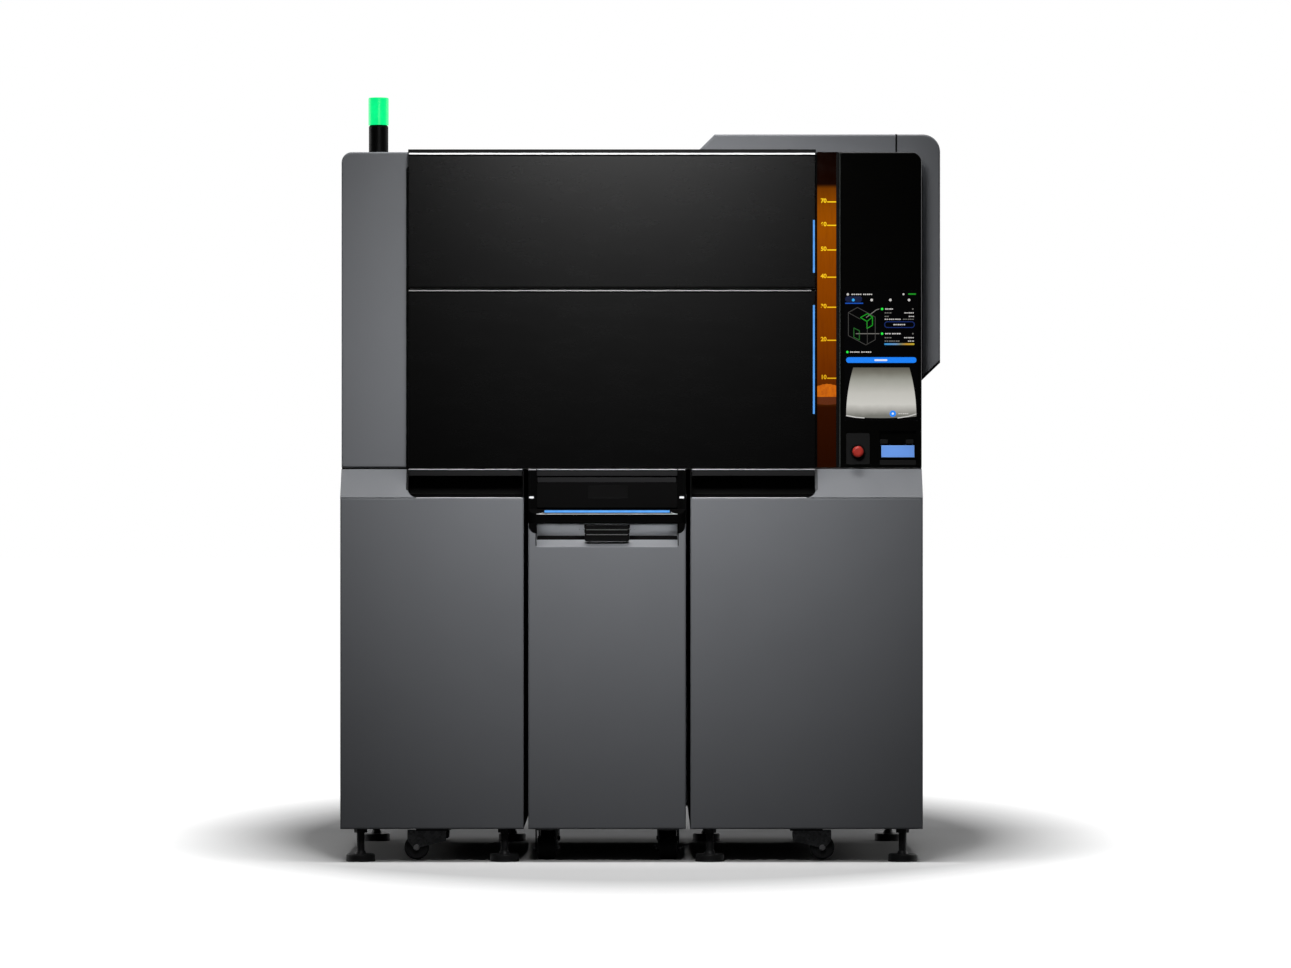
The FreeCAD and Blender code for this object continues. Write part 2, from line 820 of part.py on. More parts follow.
def door(node, z0, z1, strip_z, strip_length):
    """A pivoted door: a slab with a bevelled top, an inner plug, hinge pockets and a light strip."""
    y1 = door_y + door_thickness
    slab = box(door_left, door_right, door_y, y1, z0, z1)
    top = [edge for edge in edges_on(slab, door_y) if edge.BoundBox.ZMin > z1 - 1]
    slab = slab.makeChamfer(door_bevel, top)
    sides = edges_along(slab, V(0, 0, 1), lambda middle: middle.y < door_y + 1)
    slab = slab.makeFillet(door_edge_radius, sides)
    plug = box(
        hinge_x + hinge_boss_radius + hinge_room + plug_margin / 4, door_right - plug_margin,
        y1, upper_y - plug_gap,
        z0 + plug_margin / 4, z1 - plug_margin / 4,
    )
    panel = join(slab, plug)
    for z in (z0 + hinge_inset, z1 - hinge_inset):
        reach = hinge_boss_radius + hinge_room
        half = hinge_arm_height / 2 + hinge_room
        panel = panel.cut(box(door_left, hinge_x + reach, hinge_y - reach, y1, z - half, z + half))
        pin = hinge_arm_height / 2 + hinge_pin_reach + hinge_room
        bore = hinge_pin_radius + hinge_pin_clearance
        panel = panel.cut(rod(bore, V(hinge_x, hinge_y, z - pin), V(hinge_x, hinge_y, z + pin)))
    x1 = door_right - strip_inset
    x0 = x1 - strip_width
    groove = box(
        x0 - strip_fit, x1 + strip_fit,
        door_y, door_y + strip_depth,
        strip_z - strip_fit, strip_z + strip_length + strip_fit,
    )
    save(node, panel.cut(groove))
    strip = box(x0, x1, door_y, door_y + strip_depth, strip_z, strip_z + strip_length)
    save(node + "_light", strip)


def hinge(z):
    """A hinge bracket with its pivot pin: a foot on the wall's edge and an arm to the axis."""
    foot_x0 = chamber_left + door_gap
    foot_x1 = hinge_x + hinge_boss_radius
    foot_y = upper_y - hinge_foot_thickness
    half = hinge_foot_height / 2
    foot = box(foot_x0, foot_x1, foot_y, upper_y, z - half, z + half)
    half = hinge_arm_height / 2
    arm = box(
        hinge_x - hinge_arm_width / 2, hinge_x + hinge_arm_width / 2,
        hinge_y, foot_y,
        z - half, z + half,
    )
    boss = rod(hinge_boss_radius, V(hinge_x, hinge_y, z - half), V(hinge_x, hinge_y, z + half))
    reach = half + hinge_pin_reach
    pin = rod(hinge_pin_radius, V(hinge_x, hinge_y, z - reach), V(hinge_x, hinge_y, z + reach))
    return join(foot, arm, boss, pin)


def make_doors():
    """The two doors and their four hinges."""
    strip_z = upper_door_bottom + upper_strip_rise
    door("upper_door", upper_door_bottom, upper_door_top, strip_z, upper_strip_length)
    strip_z = door_bottom + lower_strip_rise
    door("lower_door", door_bottom, lower_door_top, strip_z, lower_strip_length)
    hinges = []
    for z0, z1 in ((upper_door_bottom, upper_door_top), (door_bottom, lower_door_top)):
        hinges.append(hinge(z0 + hinge_inset))
        hinges.append(hinge(z1 - hinge_inset))
    save("door_hinges", *hinges)


def make_recoater():
    """Two rails beside the build opening, the carriage that rides on them, and its roller."""
    rail_y = roller_length / 2 + roller_side_gap + carriage_cheek + rail_clearance + rail_size / 2
    rail_x0 = chamber_left + wall_thickness + rail_end_gap
    rail_x1 = chamber_right - wall_thickness - rail_end_gap
    rails = []
    for side in (-1, 1):
        y = build_y + side * rail_y
        rails.append(
            box(
                rail_x0, rail_x1,
                y - rail_size / 2, y + rail_size / 2,
                deck_top, deck_top + rail_size,
            )
        )
    save("recoater_rails", *rails)
    x = carriage_x
    x0 = x - carriage_length / 2
    x1 = x + carriage_length / 2
    axis_z = deck_top + roller_gap + roller_radius
    beam_z = axis_z + roller_radius + rail_room / 2
    inner = roller_length / 2 + roller_side_gap
    outer = inner + carriage_block
    beam = box(x0, x1, build_y - outer, build_y + outer, beam_z, beam_z + carriage_beam)
    ridge = edges_along(beam, V(0, 1, 0), lambda middle: middle.z > beam_z + 1)
    carriage = beam.makeFillet(carriage_edge, ridge)
    for side in (-1, 1):
        ys = sorted((build_y + side * inner, build_y + side * outer))
        block = box(x0, x1, ys[0], ys[1], deck_top + roller_gap, beam_z)
        rail = build_y + side * rail_y
        half = rail_size / 2 + rail_clearance
        groove = box(x0, x1, rail - half, rail + half, deck_top, deck_top + rail_size + rail_clearance)
        bore_start = V(x, build_y + side * inner, axis_z)
        bore_end = bore_start + V(0, side * (journal_length + roller_side_gap), 0)
        bore = rod(journal_radius + journal_clearance, bore_start, bore_end)
        carriage = join(carriage, block.cut(groove).cut(bore))
    save("recoater_carriage", carriage)
    end = roller_length / 2
    drum = rod(roller_radius, V(x, build_y - end, axis_z), V(x, build_y + end, axis_z))
    reach = end + journal_length
    journal = rod(journal_radius, V(x, build_y - reach, axis_z), V(x, build_y + reach, axis_z))
    save("recoater_roller", join(drum, journal))


def make_cart():
    """The cart's chassis, front panel, handle unit, light and latch."""
    y1 = front_y + cart_depth
    base_z = cart_bottom + cart_base_rise
    lid_z = cart_top - box_flange_thickness
    shell = box(cart_left, cart_right, cart_back, y1, base_z, lid_z)
    hollow = box(
        cart_left + cart_sheet, cart_right - cart_sheet,
        cart_back, y1 - cart_sheet,
        base_z + base_thickness, lid_z - cart_lid_thickness,
    )
    half = build_size / 2 + build_wall + box_fit
    hole = box(
        bay_middle - half, bay_middle + half,
        build_y - half, build_y + half,
        lid_z - cart_lid_thickness, lid_z,
    )
    chassis = shell.cut(hollow).cut(hole)
    for x, y in cart_caster_places(0):
        chassis = join(chassis, caster_mount(x, y, base_z, cart_caster_plate))
    axle_z = cart_wheel_radius + cart_caster_lift
    for x, y in cart_caster_places(1):
        chassis = join(chassis, fixed_fork(x, y, base_z, cart_caster_plate, axle_z, cart_wheel_width))
    save("cart_chassis", chassis)
    save("cart_front_panel", cart_panel())
    make_handle()
    make_latch()


def cart_panel():
    """The cart's front panel: a deep tray with a finger pocket behind a raised lip."""
    pocket_x0 = cart_left + handle_leg_width
    pocket_x1 = cart_right - handle_leg_width
    edge_z = handle_bottom - pocket_floor_drop
    lip_z = edge_z + pocket_lip_rise
    lip_y = front_y + pocket_lip_depth
    pocket_y = front_y + pocket_back
    outer = box(cart_left, cart_right, front_y, cart_back, cart_bottom, handle_bottom)
    bends = [edge for edge in edges_on(outer, front_y) if edge.BoundBox.ZMin < handle_bottom - 1]
    outer = outer.makeFillet(edge_radius, bends)
    hollow = box(
        cart_left + tray_wall, cart_right - tray_wall,
        front_y + tray_wall, cart_back,
        cart_bottom + tray_wall, handle_bottom,
    )
    liner = box(
        pocket_x0 - pocket_sheet, pocket_x1 + pocket_sheet,
        front_y + tray_wall, pocket_y + pocket_sheet,
        edge_z - pocket_sheet, handle_bottom,
    )
    profile = [
        (front_y, edge_z),
        (lip_y, lip_z),
        (lip_y, lip_z - pocket_trough),
        (pocket_y, lip_z - pocket_trough),
        (pocket_y, handle_bottom),
        (front_y, handle_bottom),
    ]
    space = prism([V(pocket_x0, y, z) for y, z in profile], V(pocket_x1 - pocket_x0, 0, 0))
    return join(outer.cut(hollow), liner).cut(space).cut(Part.makeCompound(handle_legs()))


def handle_legs():
    """The two legs of the handle, each with a round lower corner on its outer side."""
    low = handle_bottom - handle_leg_drop
    legs = []
    for x0, x1, outer_x in (
        (cart_left + handle_leg_skin, cart_left + handle_leg_width, cart_left),
        (cart_right - handle_leg_width, cart_right - handle_leg_skin, cart_right),
    ):
        leg = box(x0, x1, front_y, cart_back, low, handle_bottom)
        at_corner = lambda middle: abs(middle.x - outer_x) < handle_leg_width / 2 and middle.z < low + 1
        legs.append(leg.makeFillet(handle_leg_radius, edges_along(leg, V(0, 1, 0), at_corner)))
    return legs


def make_handle():
    """The black handle unit: a face between two pillars, a sloped pull bar, legs, and lugs for the latch."""
    face_y = front_y + handle_bar_depth
    edge_z = handle_bottom + handle_bar_height
    slope_y = front_y + handle_bar_slope_depth
    slope_z = edge_z + handle_bar_slope_rise
    body = box(cart_left, cart_right, face_y, cart_back, handle_bottom, cart_top)
    width = cart_right - cart_left
    profile = [
        (front_y, handle_bottom),
        (front_y, edge_z),
        (slope_y, slope_z),
        (face_y, slope_z),
        (face_y, handle_bottom),
    ]
    bar = prism([V(cart_left, y, z) for y, z in profile], V(width, 0, 0))
    at_edge = lambda middle: middle.y < front_y + 1 and middle.z > edge_z - 1
    bar = bar.makeFillet(handle_bar_edge, edges_along(bar, V(1, 0, 0), at_edge))
    plan = box(cart_left, cart_right, front_y, face_y, handle_bottom, slope_z)
    ends = edges_along(plan, V(0, 0, 1), lambda middle: middle.y < front_y + 1)
    bar = bar.common(plan.makeFillet(handle_bar_radius, ends))
    pillars = []
    for x in (cart_left, cart_right - handle_leg_width):
        pillars.append(box(x, x + handle_leg_width, face_y - handle_pillar_proud, face_y, slope_z, cart_top))
    lugs = []
    axis = latch_axis()
    half = latch_thickness / 2
    for side in (-1, 1):
        start = bay_middle + side * (latch_width / 2 + latch_side_gap)
        xs = sorted((start, start + side * latch_lug_thickness))
        lug = box(xs[0], xs[1], axis.y - half, axis.y + half, axis.z, handle_bottom)
        low_end = V(xs[0], axis.y, axis.z)
        high_end = V(xs[1], axis.y, axis.z)
        hole = rod(latch_pin_radius + latch_pin_clearance, low_end, high_end)
        lugs.append(join(lug, rod(half, low_end, high_end)).cut(hole))
    unit = join(body, bar, *pillars, *handle_legs(), *lugs)
    strip = cart_strip(edge_z)
    save("cart_handle", unit.cut(face_groove(face_y)).cut(face_recess(face_y)).cut(strip))
    save("cart_light", strip)


def face_groove(y):
    """The groove under the top edge of the handle's face: an undercut over a slope."""
    x0 = cart_left + handle_leg_width
    top = cart_top - handle_groove_drop
    corners = [V(x0, y, top), V(x0, y + handle_groove_depth, top), V(x0, y, top - handle_groove_height)]
    return prism(corners, V(cart_right - handle_leg_width - x0, 0, 0))


def face_recess(y):
    """The shallow grip recess in the middle of the handle's face, with a sloped floor."""
    x0 = bay_middle - handle_recess_width / 2
    top = cart_top - handle_recess_drop
    low = top - handle_recess_height
    back = y + handle_recess_depth
    corners = [V(x0, y, low), V(x0, back, low + handle_recess_depth), V(x0, back, top), V(x0, y, top)]
    return prism(corners, V(handle_recess_width, 0, 0))


def cart_strip(edge_z):
    """The light strip in the slope of the pull bar."""
    along = V(0, handle_bar_slope_depth, handle_bar_slope_rise).normalize()
    inwards = V(0, handle_bar_slope_rise, -handle_bar_slope_depth).normalize()
    x0 = bay_middle - cart_strip_length / 2
    low = V(x0, front_y, edge_z) + along * cart_strip_start
    high = low + along * cart_strip_width
    corners = [low, high, high + inwards * cart_strip_depth, low + inwards * cart_strip_depth]
    return prism(corners, V(cart_strip_length, 0, 0))


def latch_axis():
    """The middle of the latch's pivot, under the pull bar."""
    return V(bay_middle, front_y + latch_setback, handle_bottom - latch_axis_drop)


def make_latch():
    """The latch lever: a stepped finger pull on a barrel with two stub pins."""
    axis = latch_axis()
    half = latch_width / 2
    steps = []
    drop = 0.0
    reach = latch_neck
    for step in range(2):
        drop += latch_step_drop + step * latch_step
        steps.append((-reach, -drop))
        reach += latch_step
        steps.append((-reach, -drop - latch_step / 2))
    tip = [(-reach, -latch_height), (latch_back, -latch_height)]
    outline = [(-latch_neck, 0.0), *steps, *tip, (latch_back, 0.0)]
    corners = [V(axis.x - half, axis.y + y, axis.z + z) for y, z in outline]
    lever = prism(corners, V(latch_width, 0, 0))
    low = edges_along(lever, V(0, 1, 0), lambda middle: middle.z < axis.z - latch_height + 1)
    lever = lever.makeFillet(latch_edge, low)
    barrel = rod(latch_thickness / 2, axis - V(half, 0, 0), axis + V(half, 0, 0))
    end = half + latch_side_gap + latch_pin_length
    pin = rod(latch_pin_radius, axis - V(end, 0, 0), axis + V(end, 0, 0))
    save("cart_latch", join(lever, barrel, pin))


def make_build_box():
    """The build box that hangs in the cart, the platform on its rod, and the lift that carries it."""
    inner = build_size / 2
    outer = inner + build_wall
    flange = outer + box_flange
    flange_z = cart_top - box_flange_thickness
    x = bay_middle
    y = build_y
    sleeve = box(x - outer, x + outer, y - outer, y + outer, cart_top - box_depth, cart_top)
    rim = box(x - flange, x + flange, y - flange, y + flange, flange_z, cart_top)
    space = box(x - inner, x + inner, y - inner, y + inner, cart_top - box_depth, cart_top)
    save("build_box", join(sleeve, rim).cut(space))
    top = cart_top - platform_drop
    half = inner - platform_clearance
    slab = box(x - half, x + half, y - half, y + half, top - platform_thickness, top)
    rod_top = top - platform_thickness
    plunger = rod(lift_rod_radius, V(x, y, rod_top - lift_rod_length), V(x, y, rod_top))
    save("build_platform", join(slab, plunger))
    base = cart_bottom + cart_base_rise + base_thickness
    tube = rod(lift_radius, V(x, y, base), V(x, y, base + lift_height))
    bore_start = V(x, y, base + lift_bore_end)
    bore = rod(lift_rod_radius + lift_rod_clearance, bore_start, V(x, y, base + lift_height))
    save("lift_actuator", tube.cut(bore))


def caster_places():
    """The machine's casters: front pair, then rear pair, each under the middle of a base plate."""
    xs = ((left_x + bay_left) / 2, (bay_right + right_x) / 2)
    front = front_y + caster_front
    return [(xs[0], front), (xs[1], front), (xs[0], front + caster_spacing), (xs[1], front + caster_spacing)]


def cart_caster_places(row):
    """The cart's casters of one row: 0 is the front one."""
    y = front_y + cart_caster_front + row * cart_caster_spacing
    return [(cart_left + cart_caster_inset, y), (cart_right - cart_caster_inset, y)]


def caster_mount(x, y, z, size):
    """A caster's top plate under z, with the kingpin that its fork turns on."""
    half = size / 2
    low = z - caster_plate_thickness
    plate = box(x - half, x + half, y - half, y + half, low, z)
    pin = rod(kingpin_radius, V(x, y, low - crown_gap - crown_thickness), V(x, y, low))
    return join(plate, pin)


def fork(x, y, z, axle_z, width, trail, turn, ahead, behind, skirt):
    """A caster's fork: a crown under z, two cheeks and the axle. Turn is where the wheel trails."""
    top = z - caster_plate_thickness - crown_gap
    low = top - crown_thickness
    inner = width / 2 + cheek_gap
    outer = inner + cheek_thickness
    crown = box(-ahead, behind, -outer, outer, low, top)
    cheeks = []
    for y0 in (-outer, inner):
        outline = [
            V(-ahead, y0, top),
            V(behind, y0, top),
            V(behind, y0, top - skirt),
            V(trail + cheek_radius, y0, axle_z),
            V(trail - cheek_radius, y0, axle_z),
            V(-ahead, y0, top - skirt),
        ]
        cheeks.append(prism(outline, V(0, cheek_thickness, 0)))
        cheeks.append(rod(cheek_radius, V(trail, y0, axle_z), V(trail, y0 + cheek_thickness, axle_z)))
    axle = rod(axle_radius, V(trail, -outer - axle_head, axle_z), V(trail, outer + axle_head, axle_z))
    shape = join(crown, axle, *cheeks)
    shape.rotate(V(0, 0, 0), V(0, 0, 1), turn)
    shape.translate(V(x, y, 0))
    return shape


def swivel_fork(x, y, z, axle_z, width, trail, turn, ahead, behind, skirt):
    """A fork that turns on its kingpin."""
    shape = fork(x, y, z, axle_z, width, trail, turn, ahead, behind, skirt)
    bore = kingpin_radius + kingpin_clearance
    return shape.cut(rod(bore, V(x, y, axle_z), V(x, y, z)))


def fixed_fork(x, y, z, size, axle_z, width):
    """A rigid caster: the fork stands still under its plate and the wheel rolls along Y."""
    half = size / 2
    low = z - caster_plate_thickness
    plate = box(x - half, x + half, y - half, y + half, low - crown_gap, z)
    return join(plate, fork(x, y, z, axle_z, width, 0, 90, crown_radius, crown_radius, crown_thickness))


def wheel(x, y, axle_z, radius, width, trail, turn):
    """A wheel with a bevelled tyre and a hub recess, on the axle of its fork."""
    half = width / 2
    tyre = rod(radius, V(trail, -half, axle_z), V(trail, half, axle_z))
    tyre = tyre.makeChamfer(tyre_edge, edges_on(tyre, -half) + edges_on(tyre, half))
    for y0, y1 in ((-half, hub_recess - half), (half - hub_recess, half)):
        ring = rod(radius - 2 * tyre_edge, V(trail, y0, axle_z), V(trail, y1, axle_z))
        tyre = tyre.cut(ring.cut(rod(hub_radius, V(trail, y0, axle_z), V(trail, y1, axle_z))))
    tyre = tyre.cut(rod(axle_radius + axle_clearance, V(trail, -half, axle_z), V(trail, half, axle_z)))
    tyre.rotate(V(0, 0, 0), V(0, 0, 1), turn)
    tyre.translate(V(x, y, 0))
    return tyre


def make_machine_casters():
    """Two swivel casters in front, turned outwards, and two rigid casters behind."""
    z = ground_clearance
    axle_z = caster_wheel_radius + caster_lift
    width = caster_wheel_width
    places = caster_places()
    mounts = [caster_mount(x, y, z, caster_plate) for x, y in places[:2]]
    mounts += [fixed_fork(x, y, z, caster_plate, axle_z, width) for x, y in places[2:]]
    save("caster_mounts", *mounts)
    for (x, y), side, turn in zip(places, ("left", "right"), (180, 0)):
        behind = caster_trail + caster_crown_behind
        shape = swivel_fork(
            x, y, z, axle_z, width, caster_trail, turn, caster_crown_ahead, behind, caster_skirt
        )
        save("front_" + side + "_caster_fork", shape)
        shape = wheel(x, y, axle_z, caster_wheel_radius, width, caster_trail, turn)
        save("front_" + side + "_caster_wheel", shape)
    for (x, y), side in zip(places[2:], ("left", "right")):
        save("rear_" + side + "_caster_wheel", wheel(x, y, axle_z, caster_wheel_radius, width, 0, 90))


def make_cart_casters():
    """Two swivel casters in front and two rigid ones behind, under the cart."""
    z = cart_bottom + cart_base_rise
    axle_z = cart_wheel_radius + cart_caster_lift
    width = cart_wheel_width
    for (x, y), side in zip(cart_caster_places(0), ("left", "right")):
        shape = swivel_fork(
            x, y, z, axle_z, width, cart_caster_trail, 90, crown_radius, crown_radius, crown_thickness
        )
        save("cart_front_" + side + "_fork", shape)
        shape = wheel(x, y, axle_z, cart_wheel_radius, width, cart_caster_trail, 90)
        save("cart_front_" + side + "_wheel", shape)
    for (x, y), side in zip(cart_caster_places(1), ("left", "right")):
        save("cart_rear_" + side + "_wheel", wheel(x, y, axle_z, cart_wheel_radius, width, 0, 90))


def make_feet():
    """Eight levelling feet: a round pad with a small boss, and a stem that screws into the base plate."""
    boss_top = foot_pad_height + foot_boss_height
    top = ground_clearance + base_thickness + foot_stem_above
    feet = []
    for x, y in foot_places():
        outline = [
            V(0, 0, 0),
            V(foot_pad_radius, 0, 0),
            V(foot_pad_radius, 0, foot_pad_height - foot_pad_edge),
            V(foot_pad_radius - foot_pad_edge, 0, foot_pad_height),
            V(foot_boss_radius, 0, foot_pad_height),
            V(foot_neck_radius, 0, boss_top),
            V(foot_stem_radius, 0, boss_top),
            V(foot_stem_radius, 0, top),
            V(0, 0, top),
        ]
        face = Part.Face(Part.makePolygon(outline + outline[:1]))
        foot = face.revolve(V(0, 0, 0), V(0, 0, 1), 360)
        foot.translate(V(x, y, 0))
        feet.append(foot)
    save("levelling_feet", *feet)


def main():
    """Builds every sub-part."""
    os.makedirs("parts", exist_ok=True)
    make_base()
    make_lower_panels()
    make_shoulder()
    make_upper_casing()
    make_hood()
    make_beacon()
    make_chamber()
    make_optics()
    make_lamps()
    make_hopper()
    make_control_column()
    make_electronics()
    make_doors()
    make_recoater()
    make_cart()
    make_build_box()
    make_machine_casters()
    make_cart_casters()
    make_feet()


main()
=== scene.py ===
import json
import math

import bmesh
import bpy
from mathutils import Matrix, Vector


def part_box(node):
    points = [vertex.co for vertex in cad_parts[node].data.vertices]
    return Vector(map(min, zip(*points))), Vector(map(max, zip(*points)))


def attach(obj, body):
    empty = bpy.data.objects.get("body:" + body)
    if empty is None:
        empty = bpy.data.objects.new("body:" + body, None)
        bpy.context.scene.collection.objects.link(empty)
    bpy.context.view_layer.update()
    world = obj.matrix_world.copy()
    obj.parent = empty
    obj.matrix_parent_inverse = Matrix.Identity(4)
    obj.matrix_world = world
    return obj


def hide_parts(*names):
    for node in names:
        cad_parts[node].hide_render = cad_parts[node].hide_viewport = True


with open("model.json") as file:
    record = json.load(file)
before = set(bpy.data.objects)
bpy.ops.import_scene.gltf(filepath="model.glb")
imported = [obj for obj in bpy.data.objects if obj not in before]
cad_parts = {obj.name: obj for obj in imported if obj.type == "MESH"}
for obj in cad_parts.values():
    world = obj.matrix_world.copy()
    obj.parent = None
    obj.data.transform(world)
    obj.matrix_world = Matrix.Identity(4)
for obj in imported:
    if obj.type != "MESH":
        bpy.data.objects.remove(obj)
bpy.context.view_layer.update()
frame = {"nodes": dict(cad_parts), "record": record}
solids = frame["nodes"]
MM = 0.001

# The photograph looks straight at the front from about fifteen metres away.
FRONT = -0.540
CAMERA_X = 0.0095
CAMERA_HEIGHT = 1.003
CAMERA_AWAY = 14.81
LENS = 155.8
SENSOR = 36.0


# Nodes of a finish; sockets are named with _ for each space

def new_finish(name):
    """A material with its shader, ready for its nodes."""
    finish = bpy.data.materials.new(name)
    finish.use_nodes = True
    return finish, finish.node_tree, finish.node_tree.nodes["Principled BSDF"]


def put(node, **values):
    """Sets a node's sockets."""
    for socket, value in values.items():
        node.inputs[socket.replace("_", " ")].default_value = value


def wire(tree, node, **sources):
    """Links sources to a node's sockets."""
    for socket, source in sources.items():
        tree.links.new(source, node.inputs[socket.replace("_", " ")])


def work_out(tree, operation, first, second):
    """A Math node between two sources."""
    node = tree.nodes.new("ShaderNodeMath")
    node.operation = operation
    tree.links.new(first, node.inputs[0])
    tree.links.new(second, node.inputs[1])
    return node.outputs[0]


def place_on_piece(tree, stretch=(1, 1, 1), turn=(0, 0, 0), shift=(0, 0, 0)):
    """Object coordinates, stretched, turned or shifted for a pattern."""
    mapping = tree.nodes.new("ShaderNodeMapping")
    put(mapping, Location=shift, Rotation=turn, Scale=stretch)
    wire(tree, mapping, Vector=tree.nodes.new("ShaderNodeTexCoord").outputs["Object"])
    return mapping.outputs["Vector"]


def part_of(tree, where, axis):
    """One of the three parts of a place."""
    parts = tree.nodes.new("ShaderNodeSeparateXYZ")
    wire(tree, parts, Vector=where)
    return parts.outputs[axis]


def cloud(tree, where, size, detail=3.0, roughness=0.55):
    """Soft noise whose blotches are about size metres wide."""
    noise = tree.nodes.new("ShaderNodeTexNoise")
    put(noise, Scale=1.0 / size, Detail=detail, Roughness=roughness)
    wire(tree, noise, Vector=where)
    return noise.outputs["Fac"]


def blend_colours(tree, amount, stops):
    """A colour ramp from pairs of place and colour."""
    ramp = tree.nodes.new("ShaderNodeValToRGB")
    while len(ramp.color_ramp.elements) < len(stops):
        ramp.color_ramp.elements.new(0.5)
    for element, (place, colour) in zip(ramp.color_ramp.elements, stops):
        element.position = place
        element.color = (*colour, 1.0)
    wire(tree, ramp, Fac=amount)
    return ramp.outputs["Color"]


def shades(tree, amount, colour, dark, pale, start=0.3, end=0.7):
    """A ramp from a darker to a paler tone of one colour."""
    return blend_colours(tree, amount, [(place, [channel * gain for channel in colour])
                                        for place, gain in ((start, dark), (end, pale))])


def spread(tree, amount, low, high, start=0.3, end=0.7):
    """Maps a pattern to a range of values."""
    reach = tree.nodes.new("ShaderNodeMapRange")
    put(reach, From_Min=start, From_Max=end, To_Min=low, To_Max=high)
    wire(tree, reach, Value=amount)
    return reach.outputs["Result"]


def relief(tree, shader, height, depth, strength=0.5, edge=None):
    """Fine bumps on a surface, over normals that run round its sharp edges."""
    bump = tree.nodes.new("ShaderNodeBump")
    put(bump, Strength=strength, Distance=depth)
    wire(tree, bump, Height=height)
    if edge is not None:
        rounding = tree.nodes.new("ShaderNodeBevel")
        rounding.samples = 6
        put(rounding, Radius=edge)
        wire(tree, bump, Normal=rounding.outputs["Normal"])
    wire(tree, shader, Normal=bump.outputs["Normal"])


# Finishes

def coated_finish(name, colour, roughness, specular=0.4, grain=0.0011, depth=0.00012, shade=0.08):
    """Powder coat or moulded skin: fine orange peel, faint blotches, soft edges."""
    finish, tree, shader = new_finish(name)
    where = place_on_piece(tree)
    blotches = cloud(tree, where, 0.35, detail=5.0)
    smudges = cloud(tree, where, 0.09, detail=6.0, roughness=0.65)
    wire(tree, shader, Base_Color=shades(tree, blotches, colour, 1.0 - shade, 1.0 + shade, 0.25, 0.75),
         Roughness=spread(tree, smudges, roughness - 0.04, roughness + 0.05))
    relief(tree, shader, cloud(tree, where, grain, detail=2.0), depth, 0.45, edge=0.0012)
    put(shader, Specular_IOR_Level=specular)
    return finish


def glass_black_finish(name, colour, roughness, specular, edge=0.0008):
    """Black glass with faint wiped smudges."""
    finish, tree, shader = new_finish(name)
    where = place_on_piece(tree)
    wipes = cloud(tree, place_on_piece(tree, (1, 1, 3.0), (0, 0.5, 0)), 0.12, detail=6.0, roughness=0.7)
    wire(tree, shader, Base_Color=shades(tree, cloud(tree, where, 0.5), colour, 0.8, 1.2),
         Roughness=spread(tree, wipes, roughness, roughness + 0.02))
    relief(tree, shader, cloud(tree, where, 0.02, detail=1.0), 0.00005, 0.2, edge)
    put(shader, Specular_IOR_Level=specular)
    return finish


def lit_finish(name, colour, body):
    """A lit lens: glow with a faint mottle under a smooth skin."""
    finish, tree, shader = new_finish(name)
    where = place_on_piece(tree)
    mottle = cloud(tree, where, 0.02)
    wire(tree, shader, Emission_Color=shades(tree, mottle, colour, 0.88, 1.036),
         Base_Color=shades(tree, mottle, body, 0.9, 1.1),
         Roughness=spread(tree, cloud(tree, where, 0.015), 0.22, 0.32))
    relief(tree, shader, cloud(tree, where, 0.003), 0.00005, 0.2)
    put(shader, Emission_Strength=1.0, Specular_IOR_Level=0.15)
    return finish


def metal_finish(name, colour, roughness, brush=(1, 1, 30), brush_size=0.02):
    """Brushed or rolled metal with streaks and dull patches."""
    finish, tree, shader = new_finish(name)
    streaks = cloud(tree, place_on_piece(tree, brush), brush_size, detail=6.0, roughness=0.7)
    patches = cloud(tree, place_on_piece(tree), 0.11, detail=4.0)
    wire(tree, shader, Base_Color=shades(tree, patches, colour, 0.88, 1.12, 0.25, 0.75),
         Roughness=spread(tree, streaks, roughness - 0.08, roughness + 0.12))
    relief(tree, shader, streaks, 0.00004, 0.4, edge=0.0008)
    put(shader, Metallic=1.0)
    return finish


def zinc_finish(name):
    """Zinc plate: small crystals of slightly different grey."""
    finish, tree, shader = new_finish(name)
    where = place_on_piece(tree)
    crystals = tree.nodes.new("ShaderNodeTexVoronoi")
    put(crystals, Scale=160.0)
    wire(tree, crystals, Vector=where)
    spangle = tree.nodes.new("ShaderNodeSeparateColor")
    wire(tree, spangle, Color=crystals.outputs["Color"])
    greys = [(0.0, (0.09, 0.092, 0.096)), (1.0, (0.16, 0.163, 0.17))]
    wire(tree, shader, Base_Color=blend_colours(tree, spangle.outputs["Red"], greys),
         Roughness=spread(tree, spangle.outputs["Green"], 0.32, 0.5, 0.0, 1.0))
    relief(tree, shader, cloud(tree, where, 0.004), 0.00006, 0.3, edge=0.0008)
    put(shader, Metallic=1.0)
    return finish


def ceramic_finish(name):
    """Pale pressed ceramic with pores and a warm cast."""
    finish, tree, shader = new_finish(name)
    pores = cloud(tree, place_on_piece(tree), 0.0016, detail=4.0)
    creams = [(0.3, (0.42, 0.36, 0.29)), (0.55, (0.62, 0.57, 0.5))]
    wire(tree, shader, Base_Color=blend_colours(tree, pores, creams), Roughness=spread(tree, pores, 0.75, 0.6))
    relief(tree, shader, pores, 0.0002)
    return finish


